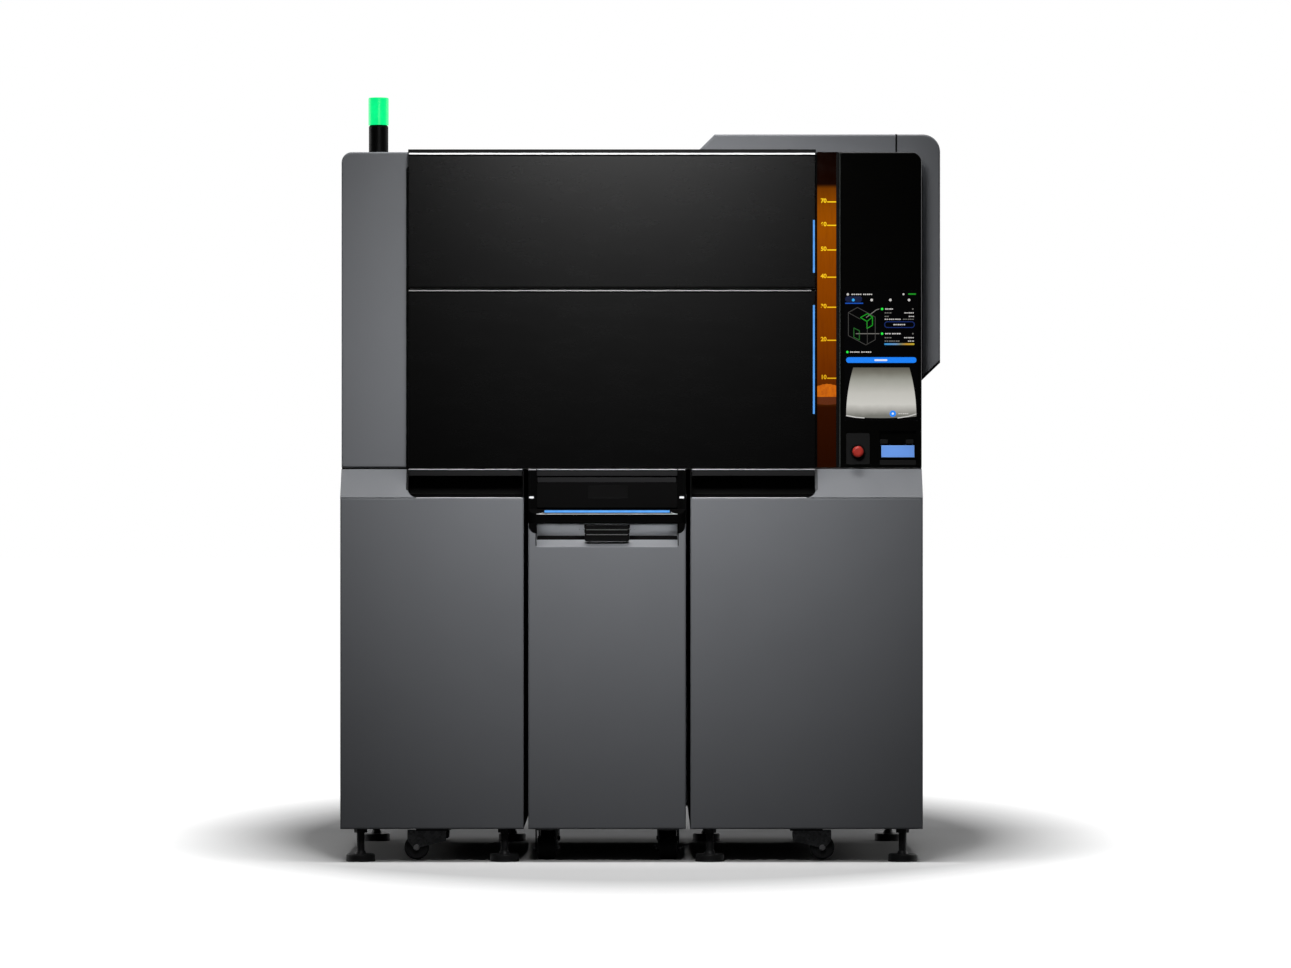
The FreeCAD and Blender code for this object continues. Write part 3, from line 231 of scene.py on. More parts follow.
def optic_finish(name):
    """Coated optical glass with a violet cast."""
    finish, tree, shader = new_finish(name)
    coat = cloud(tree, place_on_piece(tree), 0.08, detail=2.0)
    violets = [(0.3, (0.10, 0.12, 0.2)), (0.7, (0.16, 0.13, 0.24))]
    wire(tree, shader, Base_Color=blend_colours(tree, coat, violets), Roughness=spread(tree, coat, 0.04, 0.09))
    put(shader, Transmission_Weight=0.6, IOR=1.46)
    return finish


def hopper_finish(name):
    """Amber window with painted light: an emitted glow, graded along its height, stands in for the lit inside seen
    through the glass; streaks of settled powder dim it.
    """
    finish, tree, shader = new_finish(name)
    low, high = (corner.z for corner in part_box("hopper_window"))
    bands = [
        (1.047, (0.012, 0.0018, 0.0001)), (1.208, (0.022, 0.0034, 0.0001)), (1.216, (0.050, 0.011, 0.0003)),
        (1.290, (0.130, 0.022, 0.0002)), (1.400, (0.185, 0.036, 0.0)), (1.560, (0.250, 0.052, 0.0)),
        (1.680, (0.310, 0.072, 0.0)), (1.740, (0.260, 0.062, 0.0)), (1.790, (0.150, 0.036, 0.0)),
        (1.800, (0.004, 0.0006, 0.0001)), (1.886, (0.0008, 0.0001, 0.0))]
    # painted light: the glow rises from dark at the foot to brightest near the top of the lit part, then falls dark
    # above it
    level = spread(tree, part_of(tree, place_on_piece(tree), "Z"), 0.0, 1.0, low, high)
    glow = blend_colours(tree, level, [((height - low) / (high - low), colour) for height, colour in bands])
    streaks = cloud(tree, place_on_piece(tree, (1, 1, 0.12)), 0.006, detail=4.0)
    veil = tree.nodes.new("ShaderNodeMix")
    veil.data_type = "RGBA"
    veil.blend_type = "MULTIPLY"
    wire(tree, veil, Factor=spread(tree, streaks, 0.0, 0.3, 0.45, 0.8), A=glow)
    put(veil, B=(0.45, 0.35, 0.3, 1.0))
    browns = [(0.3, (0.003, 0.0006, 0.0001)), (0.7, (0.005, 0.0011, 0.0002))]
    wire(tree, shader, Emission_Color=veil.outputs["Result"], Base_Color=blend_colours(tree, streaks, browns),
         Roughness=spread(tree, cloud(tree, place_on_piece(tree), 0.03), 0.10, 0.18))
    put(shader, Emission_Strength=1.0, Specular_IOR_Level=0.04)
    return finish


def glow_finish(name, colour, strength=1.0):
    """A lit mark with a faint grain of dots."""
    finish, tree, shader = new_finish(name)
    dots = cloud(tree, place_on_piece(tree), 0.0012, detail=1.0)
    wire(tree, shader, Emission_Color=shades(tree, dots, colour, 0.85, 1.1),
         Base_Color=shades(tree, dots, DARK_SKIN, 0.8, 1.2), Roughness=spread(tree, dots, 0.2, 0.3))
    put(shader, Emission_Strength=strength, Specular_IOR_Level=0.1)
    return finish


def banded_glow(name, axis, bands, grain=0.0):
    """A lit picture whose colour runs along one axis, in bands of place in metres and colour."""
    finish, tree, shader = new_finish(name)
    where = place_on_piece(tree)
    start, end = bands[0][0], bands[-1][0]
    place = part_of(tree, where, axis)
    if grain:
        drift = tree.nodes.new("ShaderNodeMath")
        drift.operation = "MULTIPLY_ADD"
        tree.links.new(cloud(tree, where, 0.02, detail=4.0), drift.inputs[0])
        drift.inputs[1].default_value = grain
        tree.links.new(place, drift.inputs[2])
        place = drift.outputs[0]
    level = spread(tree, place, 0.0, 1.0, start, end)
    glow = blend_colours(tree, level, [((spot - start) / (end - start), colour) for spot, colour in bands])
    wire(tree, shader, Emission_Color=glow, Base_Color=shades(tree, cloud(tree, where, 0.004), DARK_SKIN, 0.8, 1.2),
         Roughness=spread(tree, cloud(tree, where, 0.01), 0.2, 0.3))
    put(shader, Emission_Strength=1.0, Specular_IOR_Level=0.1)
    return finish


DARK_SKIN = (0.005, 0.005, 0.005)

FINISHES = {
    "body_grey": coated_finish("grey_powder_coat", (0.128, 0.133, 0.143), 0.46, specular=0.22, shade=0.03),
    "frame_black": coated_finish("black_frame_coat", (0.012, 0.012, 0.013), 0.5, specular=0.3),
    "door_black": glass_black_finish("smoked_door", (0.0004, 0.0004, 0.0004), 0.26, 0.085),
    "trim_black": coated_finish("moulded_black_trim", (0.0014, 0.0014, 0.0014), 0.42, 0.05, depth=0.00006),
    "column_black": glass_black_finish("column_glass", (0.0012, 0.0012, 0.0010), 0.10, 0.08),
    "screen": glass_black_finish("display_glass", (0.0016, 0.0016, 0.0018), 0.1, 0.08, 0.0001),
    "amber_glass": hopper_finish("amber_window_painted_glow"),
    "light_blue": lit_finish("blue_light_strip", (0.078, 0.30, 0.76), (0.02, 0.06, 0.14)),
    "beacon_green": lit_finish("green_beacon", (0.003, 0.97, 0.26), (0.0, 0.03, 0.01)),
    "stop_red": coated_finish("red_button", (0.34, 0.024, 0.016), 0.36, 0.2, depth=0.00004),
    "tag_blue": coated_finish("blue_tag", (0.172, 0.385, 0.95), 0.5, 0.1, depth=0.00003),
    "chamber_metal": metal_finish("chamber_sheet", (0.42, 0.42, 0.41), 0.42),
    "machined_aluminium": metal_finish("machined_aluminium", (0.52, 0.53, 0.54), 0.36, (1, 30, 1)),
    "steel": metal_finish("ground_steel", (0.44, 0.44, 0.45), 0.3, (1, 40, 1), 0.01),
    "zinc": zinc_finish("zinc_plate"),
    "wheel_black": coated_finish("wheel_tread", (0.011, 0.011, 0.012), 0.6, 0.25, grain=0.002, depth=0.0003),
    "lamp_ceramic": ceramic_finish("lamp_ceramic"),
    "optic_glass": optic_finish("optic_coating"),
}


def dress_solids():
    """Gives every solid the finish of its slot, and two of them a blacker one."""
    own_finish = {
        "cart_handle": coated_finish("handle_black", (0.0008, 0.0008, 0.0008), 0.6, 0.015, depth=0.00006),
        "bay_walls": FINISHES["trim_black"]}
    for entry in frame["record"]["subparts"]:
        node = entry["node"]
        for slot in solids[node].material_slots:
            slot.material = own_finish.get(node, FINISHES[entry["material_slot"]])


# Modelling, in millimetres

TURN_TO = {"X": (0, math.pi / 2, 0), "Y": (math.pi / 2, 0, 0), "Z": (0, 0, 0)}
REAR, AHEAD, LEFT, RIGHT, UP, DOWN = (0, 1, 0), (0, -1, 0), (-1, 0, 0), (1, 0, 0), (0, 0, 1), (0, 0, -1)
ALONG, FACING, FLAT = 0.99, 0.9, 0.999  # how truly edges and faces keep to a direction
CLOSE = 0.02  # how far an edge may lie from its level


def leave_edit():
    bpy.ops.object.mode_set(mode="OBJECT")


def clear_selection():
    if bpy.context.mode != "OBJECT":
        leave_edit()
    bpy.ops.object.select_all(action="DESELECT")


def in_metres(values):
    return [value * MM for value in values]


def box_of(node):
    """A solid's lowest and highest corners."""
    return [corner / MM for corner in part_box(node)]


def freeze(name):
    """Names the active piece and puts its place into its mesh."""
    piece = bpy.context.object
    piece.name = name
    bpy.ops.object.transform_apply(location=True, rotation=True, scale=True)
    return piece


def start_block(name, first, second):
    """A block between two opposite corners."""
    clear_selection()
    middle = [(a + b) / 2 for a, b in zip(first, second)]
    size = [abs(b - a) for a, b in zip(first, second)]
    bpy.ops.mesh.primitive_cube_add(size=1.0, location=in_metres(middle), scale=in_metres(size))
    return freeze(name)


def start_sheet(name, middle, wide, tall, columns, rows):
    """An upright grid that faces the front."""
    clear_selection()
    bpy.ops.mesh.primitive_grid_add(x_subdivisions=columns, y_subdivisions=rows, size=1.0,
                                    location=in_metres(middle), rotation=TURN_TO["Y"])
    bpy.context.object.scale = in_metres((wide, tall, 1000.0))
    return freeze(name)


def start_rod(name, middle, radius, length, axis="Z", sides=24):
    """A rod along an axis."""
    clear_selection()
    bpy.ops.mesh.primitive_cylinder_add(vertices=sides, radius=radius * MM, depth=length * MM,
                                        location=in_metres(middle), rotation=TURN_TO[axis])
    return freeze(name)


def centre_of(part):
    """The middle of a face, an edge or a corner."""
    if isinstance(part, bmesh.types.BMFace):
        return part.calc_center_median() / MM
    if isinstance(part, bmesh.types.BMEdge):
        return (part.verts[0].co + part.verts[1].co) / 2 / MM
    return part.co / MM


def runs_along(edge, axis):
    line = (edge.verts[1].co - edge.verts[0].co).normalized()
    return abs(line["XYZ".index(axis)]) > ALONG


def edges(axis=None, **limits):
    """Picks edges along an axis whose middle is under or over limits such as y_under or z_over."""
    def wanted(edge):
        middle = centre_of(edge)
        if axis and not runs_along(edge, axis):
            return False
        sides = [(middle["xyz".index(key[0])] - limit, key[2:]) for key, limit in limits.items()]
        return all(past < 0 if side == "under" else past > 0 for past, side in sides)
    return wanted


def looks(face, direction):
    return face.normal.dot(Vector(direction)) > FACING


def choose(piece, kind, wanted):
    """Opens a piece for editing and selects the faces, edges or corners that are wanted."""
    if bpy.context.mode == "OBJECT":
        clear_selection()
        bpy.context.view_layer.objects.active = piece
        bpy.ops.object.mode_set(mode="EDIT")
    bpy.ops.mesh.select_mode(type=kind)
    bpy.ops.mesh.select_all(action="DESELECT")
    shape = bmesh.from_edit_mesh(piece.data)
    shape.normal_update()
    for part in {"FACE": shape.faces, "EDGE": shape.edges, "VERT": shape.verts}[kind]:
        part.select = bool(wanted(part))
    shape.select_flush_mode()
    bmesh.update_edit_mesh(piece.data)


def round_edges(piece, wanted, radius, segments=2):
    choose(piece, "EDGE", wanted)
    bpy.ops.mesh.bevel(offset=radius * MM, segments=segments, affect="EDGES", clamp_overlap=True)
    leave_edit()
    return piece


def rounded(name, first, second, wanted, radius, segments=2):
    """A block with some of its edges rounded."""
    return round_edges(start_block(name, first, second), wanted, radius, segments)


def shift_corners(piece, wanted, shift):
    choose(piece, "VERT", wanted)
    bpy.ops.transform.translate(value=in_metres(shift))
    leave_edit()
    return piece


def push_in(piece, wanted, wall, shift):
    """Insets faces by a wall and draws them out or in."""
    choose(piece, "FACE", wanted)
    bpy.ops.mesh.inset(thickness=wall * MM)
    bpy.ops.mesh.extrude_region_move(TRANSFORM_OT_translate={"value": in_metres(shift)})
    leave_edit()
    return piece


def turn_outwards(piece, doubles=0.0):
    """Merges corners that are doubled, where a distance is given, and turns all faces outwards."""
    choose(piece, "FACE", lambda face: True)
    if doubles:
        bpy.ops.mesh.remove_doubles(threshold=doubles)
    bpy.ops.mesh.normals_make_consistent(inside=False)
    leave_edit()
    return piece


def thicken(sheet, depth):
    """Gives a sheet that faces the front its thickness, towards the front."""
    choose(sheet, "FACE", lambda face: True)
    bpy.ops.mesh.extrude_region_move(TRANSFORM_OT_translate={"value": in_metres((0, -depth, 0))})
    return turn_outwards(sheet)


def hold(*pieces):
    """Selects these pieces, the first one active."""
    clear_selection()
    for piece in pieces:
        piece.select_set(True)
    bpy.context.view_layer.objects.active = pieces[0]


def move(piece, name, shift):
    """Moves a piece under a new name."""
    hold(piece)
    bpy.ops.transform.translate(value=in_metres(shift))
    return freeze(name)


def copy_to(piece, name, shift):
    """A moved copy with its own mesh."""
    hold(piece)
    bpy.ops.object.duplicate(linked=False)
    return move(bpy.context.object, name, shift)


def merge(name, pieces):
    """Joins pieces into one."""
    hold(*pieces)
    if len(pieces) > 1:
        bpy.ops.object.join()
    pieces[0].name = name
    return pieces[0]


def repeat(name, piece, shifts):
    """A piece and its copies, as one piece."""
    return merge(name, [piece] + [copy_to(piece, name, shift) for shift in shifts])


def settle(piece, finish, body, angle=35):
    """Smooths a finished piece so that its flat faces stay flat, gives it its finish and its body."""
    hold(piece)
    bpy.ops.object.shade_smooth_by_angle(angle=math.radians(angle))
    bpy.ops.object.modifier_add(type="WEIGHTED_NORMAL")
    piece.modifiers[-1].keep_sharp = True
    bpy.ops.object.modifier_apply(modifier=piece.modifiers[-1].name)
    piece.data.materials.clear()
    piece.data.materials.append(finish)
    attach(piece, body)
    return piece


def fit(piece, slot, body="cabinet", angle=35):
    """Settles a piece in the plain finish of its slot."""
    return settle(piece, FINISHES[slot], body, angle)


# Screen: marks stand a hair proud of the display's glass, placed across and down from its corner

SCREEN_LOW, SCREEN_HIGH = box_of("display_panel")
MARK_PROUD = 0.5
MARK_ROOT = 0.2


def on_screen(across, down, proud=0.0):
    return (SCREEN_LOW.x + across, SCREEN_LOW.y - proud, SCREEN_HIGH.z - down)


def screen_bar(left, right, down, tall):
    """A flat bar with rounded ends."""
    return rounded("bar", on_screen(left, down + tall / 2, MARK_PROUD), on_screen(right, down - tall / 2, -MARK_ROOT),
                   edges("Y"), min(tall, right - left) * 0.45, 4)


def screen_print(rows):
    """Rows of short bars, the way small print looks from afar."""
    bars = []
    for left, right, down, tall in rows:
        count = max(2, round((right - left) / 5.6))
        step = (right - left) / count
        for place in range(count):
            start = left + step * place
            bars.append(screen_bar(start, start + step * (0.84, 0.7, 0.9)[place % 3], down, tall))
    return bars


def screen_dot(across, down, radius):
    """A round mark with a softened rim."""
    place = on_screen(across, down, MARK_PROUD / 2)
    dot = start_rod("dot", place, radius, MARK_PROUD, "Y", 20)
    front = place[1] - MARK_PROUD / 2
    return round_edges(dot, lambda edge: abs(centre_of(edge).y - front) < 0.05, MARK_PROUD * 0.6)


def screen_stroke(start, end, wide):
    """A straight stroke between two points, each given across and down."""
    clear_selection()
    run = (end[0] - start[0], end[1] - start[1])
    middle = on_screen((start[0] + end[0]) / 2, (start[1] + end[1]) / 2, (MARK_PROUD - MARK_ROOT) / 2)
    bpy.ops.mesh.primitive_cube_add(
        size=1.0, location=in_metres(middle), rotation=(0, math.atan2(run[1], run[0]), 0),
        scale=in_metres((math.hypot(*run) + wide * 0.6, MARK_PROUD + MARK_ROOT, wide)))
    return round_edges(freeze("stroke"), edges("Y"), wide * 0.4)


def strokes(points, wide):
    return [screen_stroke(start, end, wide) for start, end in zip(points, points[1:])]


def outline_strokes(points, wide):
    return strokes(points + points[:1], wide)


def pill_ring(left, right, down, tall, wall):
    """A hollow pill: a rounded bar whose front is inset and pierced."""
    pill = screen_bar(left, right, down, tall)
    choose(pill, "FACE", lambda face: looks(face, AHEAD))
    bpy.ops.mesh.inset(thickness=wall * MM)
    bpy.ops.mesh.delete(type="FACE")
    leave_edit()
    return pill


def camera_view(columns=16, rows=12):
    """The picture of the powder bed: a sheet that widens downwards, with bowed sides and a sagging foot."""
    left, right, top, foot = 4.8, 191.6, 206.0, 336.0
    middle = on_screen((left + right) / 2, (top + foot) / 2, 0.15)
    view = start_sheet("screen_bed_view", middle, right - left, foot - top, columns, rows)
    for row in range(rows + 1):
        share = row / rows
        height = SCREEN_HIGH.z - top - share * (foot - top)
        choose(view, "VERT", lambda corner: abs(centre_of(corner).z - height) < 1.0)
        grow = 0.80 + 0.20 * (1.0 - (1.0 - share) ** 2)
        bpy.ops.transform.resize(value=(grow, 1, 1), center_override=in_metres((middle[0], middle[1], height)))
    reach = (right - left) / 2
    for column in range(columns + 1):
        share = 2 * column / columns - 1.0
        shift_corners(view, lambda corner: abs(centre_of(corner).x - middle[0] - share * reach) < reach / 20
                      and centre_of(corner).z < SCREEN_HIGH.z - foot + 16, (0, 0, -4.5 * (1.0 - share * share)))
    return thicken(view, 0.3)


def show(name, pieces, finish, colour):
    """Settles marks on the screen as one lit piece."""
    settle(merge(name, pieces), glow_finish(finish, colour), "cabinet")


def make_screen():
    """What the display shows: plain bars, dots, and a box with two marked places."""
    show("screen_bright_marks", screen_print([
        (18.6, 47.0, 11.1, 3.3), (49.5, 75.6, 11.1, 3.3), (108.4, 130.3, 50.1, 3.3), (159.5, 186.5, 60.4, 2.8),
        (171.2, 185.8, 69.8, 2.8), (107.0, 151.5, 77.4, 2.7), (130.3, 162.4, 91.7, 3.3), (108.4, 124.0, 115.8, 3.3),
        (126.5, 150.8, 115.8, 3.3), (158.8, 186.5, 126.5, 2.8), (169.0, 185.8, 135.5, 2.8), (15.0, 42.0, 164.7, 3.3),
        (44.5, 73.4, 164.7, 3.3), (143.5, 172.0, 328.7, 2.7)]) + [
        repeat("tab_dots", screen_dot(72.6, 26.1, 3.6), [(49.7, 0, 0), (99.6, 0, 0)]),
        screen_dot(9.1, 11.1, 3.2), screen_dot(157.3, 10.7, 2.6)], "screen_white", (0.58, 0.56, 0.54))
    show("screen_faint_marks", screen_print([
        (107.0, 126.0, 60.4, 2.7), (107.0, 120.1, 69.8, 2.7), (155.9, 186.5, 77.4, 2.4), (107.0, 126.0, 126.5, 2.7),
        (107.0, 147.8, 135.5, 2.7)]) + [screen_dot(182.2, 50.1, 2.0), screen_dot(182.2, 115.8, 2.0)]
        + strokes([(58.1, 72.8), (85.1, 52.3), (92.4, 50.1)], 2.2) + strokes([(31.0, 115.8), (92.4, 115.8)], 2.2),
        "screen_grey", (0.17, 0.165, 0.15))
    show("screen_box_lines", outline_strokes([
        (10.6, 59.6), (34.7, 45.8), (82.1, 71.3), (82.1, 131.9), (57.3, 145.8), (10.6, 120.9)], 1.8)
        + strokes([(61.0, 84.4), (61.0, 144.3)], 1.5) + strokes([(10.6, 59.6), (42.0, 77.0)], 1.5),
        "screen_line_grey", (0.045, 0.043, 0.04))
    show("screen_marked_place", outline_strokes([
        (42.7, 72.8), (61.7, 62.5), (74.8, 71.3), (74.8, 93.2), (60.2, 102.0), (60.2, 83.0)], 2.4)
        + strokes([(60.2, 83.0), (74.8, 71.3)], 2.0) + [screen_bar(169.7, 190.9, 10.3, 3.6)],
        "screen_green", (0.008, 0.30, 0.012))
    show("screen_second_place", outline_strokes([(25.2, 100.5), (39.8, 107.8), (39.8, 132.6), (25.2, 125.3)], 2.4),
         "screen_dim_green", (0.012, 0.10, 0.014))
    lamps = repeat("state_dots", screen_dot(100.4, 50.1, 3.2), [(0, 0, -65.7), (-92.4, 0, -114.6)])
    show("screen_state_dots", [lamps], "screen_bright_green", (0.02, 0.92, 0.06))
    show("screen_button", [screen_bar(4.8, 191.6, 186.0, 15.0)], "screen_blue", (0.008, 0.22, 0.95))
    show("screen_tab_line", [screen_bar(2.0, 50.0, 34.8, 3.0)], "screen_line_blue", (0.004, 0.075, 0.46))
    show("screen_outlined_button", [pill_ring(106.2, 187.3, 91.7, 17.5, 2.2)], "screen_deep_blue", (0.004, 0.02, 0.13))
    show("screen_tab_field", [screen_bar(2.0, 47.0, 23.9, 15.0)], "screen_tab_blue", (0.001, 0.006, 0.038))


def make_screen_tops():
    """Marks that lie on other marks, and the coloured pictures."""
    scale = [(106, (0.02, 0.27, 0.62)), (136, (0.13, 0.28, 0.5)), (150, (0.2, 0.22, 0.13)),
             (166, (0.52, 0.27, 0.02)), (187, (0.5, 0.4, 0.03))]
    bands = [((SCREEN_LOW.x + across) * MM, colour) for across, colour in scale]
    settle(merge("screen_heat_scale", [screen_bar(106.2, 186.5, 143.6, 4.8)]),
           banded_glow("screen_heat_scale", "X", bands), "cabinet")
    tones = [(342, (0.16, 0.16, 0.145)), (330, (0.17, 0.17, 0.15)), (314, (0.40, 0.39, 0.36)),
             (300, (0.58, 0.57, 0.53)), (270, (0.52, 0.51, 0.47)), (236, (0.33, 0.33, 0.29)),
             (216, (0.17, 0.165, 0.135)), (205, (0.11, 0.105, 0.085))]
    bands = [((SCREEN_HIGH.z - down) * MM, colour) for down, colour in tones]
    settle(camera_view(), banded_glow("screen_bed_picture", "Z", bands, 0.008), "cabinet")
    rim = merge("rim", strokes([(5.4, 333.6), (30.0, 338.2)], 3.0) + strokes([(30.0, 338.2), (53.0, 340.0)], 2.6)
                + strokes([(142.0, 340.0), (170.0, 336.0), (191.0, 329.6)], 2.6))
    for name, mark, proud, finish, colour in (
            ("screen_bed_rim", rim, 0.2, "screen_rim_white", (0.6, 0.59, 0.57)),
            ("screen_button_mark", screen_bar(80.0, 114.3, 186.3, 4.6), 0.4, "screen_button_white", (0.75, 0.8, 0.95)),
            ("screen_view_badge", screen_dot(128.9, 328.7, 8.6), 0.4, "screen_badge_blue", (0.02, 0.25, 0.95)),
            ("screen_tab_dot", screen_dot(23.7, 26.1, 3.8), 0.4, "screen_tab_bright", (0.03, 0.42, 0.95)),
            ("screen_view_badge_eye", screen_dot(128.9, 328.7, 2.8), 0.8, "screen_badge_white", (0.85, 0.9, 0.95))):
        show(name, [move(mark, name, (0, -proud, 0))], finish, colour)


# Hopper window: level marks, the heap behind the glass, edge strips

LEVELS = [(70, 1757.5), (60, 1695.0), (50, 1629.5), (40, 1557.0), (30, 1477.0), (20, 1389.0), (10, 1288.0)]
WINDOW_X, WINDOW_Y, _ = box_of("hopper_window")[0]


def level_number(value, height):
    """A plain number, made a mesh."""
    clear_selection()
    bpy.ops.object.text_add(rotation=TURN_TO["Y"], location=in_metres((WINDOW_X + 11.0, WINDOW_Y, height - 5.4)))
    number = bpy.context.object
    number.data.body = str(value)
    number.data.size = 15.5 * MM
    number.data.offset = 0.55 * MM
    number.data.extrude = 0.4 * MM
    bpy.ops.object.convert(target="MESH")
    return freeze("level_number")


def make_hopper_marks():
    """Seven marks on the window, each a number over a line that runs to the edge; the marks glow with painted light
    that grows brighter upwards.
    """
    first = LEVELS[0][1]
    line = rounded("level_line", (WINDOW_X + 28.0, WINDOW_Y - 0.5, first - 5.0),
                   (WINDOW_X + 53.6, WINDOW_Y + 0.2, first - 1.8), edges("Y"), 1.2, 3)
    marks = [line] + [copy_to(line, "level_line", (0, 0, height - first)) for _, height in LEVELS[1:]]
    marks += [level_number(value, height) for value, height in LEVELS]
    yellows = [(1.25, (0.74, 0.38, 0.002)), (1.45, (0.92, 0.50, 0.002)), (1.77, (1.0, 0.64, 0.002))]
    settle(merge("hopper_level_marks", marks), banded_glow("level_yellow_painted_glow", "Z", yellows), "cabinet")


def make_powder_heap():
    """The heap at the foot of the lit part and the band under it; both glow with painted light, the heap lit and the
    band shaded.
    """
    left, right, low, high = WINDOW_X + 1.8, WINDOW_X + 53.4, 1235.0, 1261.0
    middle = ((left + right) / 2, WINDOW_Y - 0.05, (low + high) / 2)
    columns = 14
    heap = start_sheet("hopper_powder_heap", middle, right - left, high - low, columns, 6)
    for column in range(columns + 1):
        place = left + column * (right - left) / columns
        swell = 8.5 * math.sin(math.pi * (column + 1.6) / 18.0) + 0.7 * math.sin(column * 2.1)
        shift_corners(heap, lambda corner: abs(centre_of(corner).x - place) < 1.0
                      and centre_of(corner).z > high - 9.5, (0, 0, swell))
    thicken(heap, 0.45)
    # the heap's amber is emitted: painted light
    finish, tree, shader = new_finish("powder_painted_light")
    lumps = cloud(tree, place_on_piece(tree), 0.011, detail=6.0, roughness=0.7)
    ambers = [(0.3, (0.40, 0.075, 0.001)), (0.5, (0.55, 0.118, 0.002)), (0.7, (0.66, 0.16, 0.003))]
    wire(tree, shader, Emission_Color=blend_colours(tree, lumps, ambers), Roughness=spread(tree, lumps, 0.6, 0.8))
    relief(tree, shader, lumps, 0.0004)
    put(shader, Emission_Strength=1.0, Base_Color=(0.02, 0.006, 0.001, 1.0), Specular_IOR_Level=0.05)
    settle(heap, finish, "cabinet")
    band = start_block("hopper_heap_band", (left, WINDOW_Y - 0.4, 1216.0), (right, WINDOW_Y + 0.2, 1236.0))
    choose(band, "EDGE", edges("X"))
    columns = 11
    bpy.ops.mesh.subdivide(number_cuts=columns - 1)
    for column in range(columns + 1):
        place = left + column * (right - left) / columns
        shift_corners(band, lambda corner: abs(centre_of(corner).x - place) < 1.0
                      and centre_of(corner).z < 1220.0, (0, 0, -2.2 * math.sin(math.pi * column / columns)))
    settle(band, glow_finish("shaded_powder", (0.105, 0.018, 0.0004)), "cabinet")


def make_window_edges():
    """A black seal at the window's right edge and the dull strip that divides it from the column."""
    fit(rounded("window_seal", (517.0, -476.0, 1047.5), (525.2, -467.0, 1886.0), edges("Z", y_under=-475), 0.6),
        "trim_black")
    strip = rounded("column_edge_strip", (525.4, -476.4, 1047.5), (528.8, -466.0, 1886.0),
                    edges("Z", y_under=-475), 0.8, 3)
    settle(strip, coated_finish("dull_strip", (0.022, 0.025, 0.023), 0.5, 0.1), "cabinet")


def make_column_plates():
    """The bare plate round the stop button and the bare frame round the tag."""
    plate = rounded("stop_plate", (543.7, -476.2, 1055.0), (606.5, -474.5, 1138.5), edges("Y"), 5.0, 5)
    choose(plate, "FACE", lambda face: looks(face, AHEAD))
    bpy.ops.mesh.inset(thickness=1.4 * MM)
    bpy.ops.transform.translate(value=in_metres((0, 0.5, 0)))
    leave_edit()
    satin = coated_finish("satin_black_plate", (0.0062, 0.0062, 0.0062), 0.5, 0.06, depth=0.00005)
    settle(plate, satin, "cabinet")
    ledge = rounded("tag_ledge", (633.0, -476.0, 1053.6), (730.0, -474.6, 1066.5), edges("Y"), 2.5, 3)
    lug = rounded("tag_lug", (634.0, -476.0, 1110.0), (654.5, -474.6, 1121.5), edges("Y"), 2.0, 3)
    settle(merge("tag_frame", [ledge, lug, copy_to(lug, "tag_lug", (68.5, 0, 0))]), satin, "cabinet")


# Front: pale edge lines that paint highlights, dark gaps, dark strips that paint shadows, and lights of the cart, the
# deck, the doors and the hood

def make_cart_marks():
    """Marker lights of the cart; pale edge lines on its bar and top that paint their highlights; the light over its
    finger pocket; the pocket's dark edges, with a black strip that paints the shade at the foot of its back wall.
    """
    marker = rounded("marker", (-299.6, -507.4, 964.6), (-287.2, -505.6, 970.2), edges("Y"), 2.2, 4)
    settle(repeat("cart_marker_lights", marker, [(399.3, 0, 0)]), glow_finish("marker_white", (0.95, 0.96, 1.0)),
           "cart")

    # pale strips on the bar's front edge and on the top edges paint their highlights
    line = start_block("cart_bar_edge_line", (-279.5, -540.5, 922.5), (94.5, -538.0, 924.2))
    for side, end_x in ((1, 94.5), (-1, -279.5)):
        choose(line, "FACE", lambda face: looks(face, (side, 0, 0)))
        bpy.ops.mesh.spin(steps=8, angle=math.radians(42 * side), center=in_metres((end_x, -518.0, 938.0)),
                          axis=(0, -0.57, 0.82))
    pale = coated_finish("edge_painted_highlight", (0.54, 0.54, 0.55), 0.4, 0.3, depth=0.00004)
    settle(turn_outwards(line, 0.00001), pale, "cart")
    brow = edges("X", y_under=-510)
    edge = rounded("cart_top_edge", (-278.6, -511.0, 1040.3), (93.6, -498.6, 1042.4), brow, 0.8, 3)
    cap = rounded("pillar_cap", (-300.8, -511.0, 1040.3), (-281.4, -504.6, 1042.4), brow, 0.8, 3)
    settle(merge("cart_top_edge_line", [edge, cap, copy_to(cap, "pillar_cap", (397.2, 0, 0))]), pale,
           "cart")

    strip = rounded("cart_pocket_light", (-270.0, -508.0, 897.5), (85.0, -498.0, 899.5), edges("Z"), 2.0, 3)
    settle(strip, glow_finish("pocket_light", (1.0, 1.0, 1.0), 15.0), "cart")
    # painted shade: a black strip at the foot of the pocket's back wall
    fit(rounded("cart_pocket_painted_shade", (-279.0, -487.0, 843.4), (94.0, -483.8, 866.0), edges("X", y_under=-486), 1.0, 3),
        "trim_black", "cart")
    low, high = box_of("cart_light")
    fit(rounded("cart_light_lip", (low.x - 2.0, low.y - 0.4, low.z - 0.6), (high.x + 2.0, low.y + 2.0, low.z + 1.8),
                edges("X"), 0.3), "trim_black", "cart")
    flank = rounded("cart_pocket_flanks", (-282.2, -540.4, 839.5), (-279.6, -525.0, 872.0), edges("Z"), 0.8)
    fit(repeat("cart_pocket_flanks", flank, [(376.9, 0, 0)]), "trim_black", "cart")


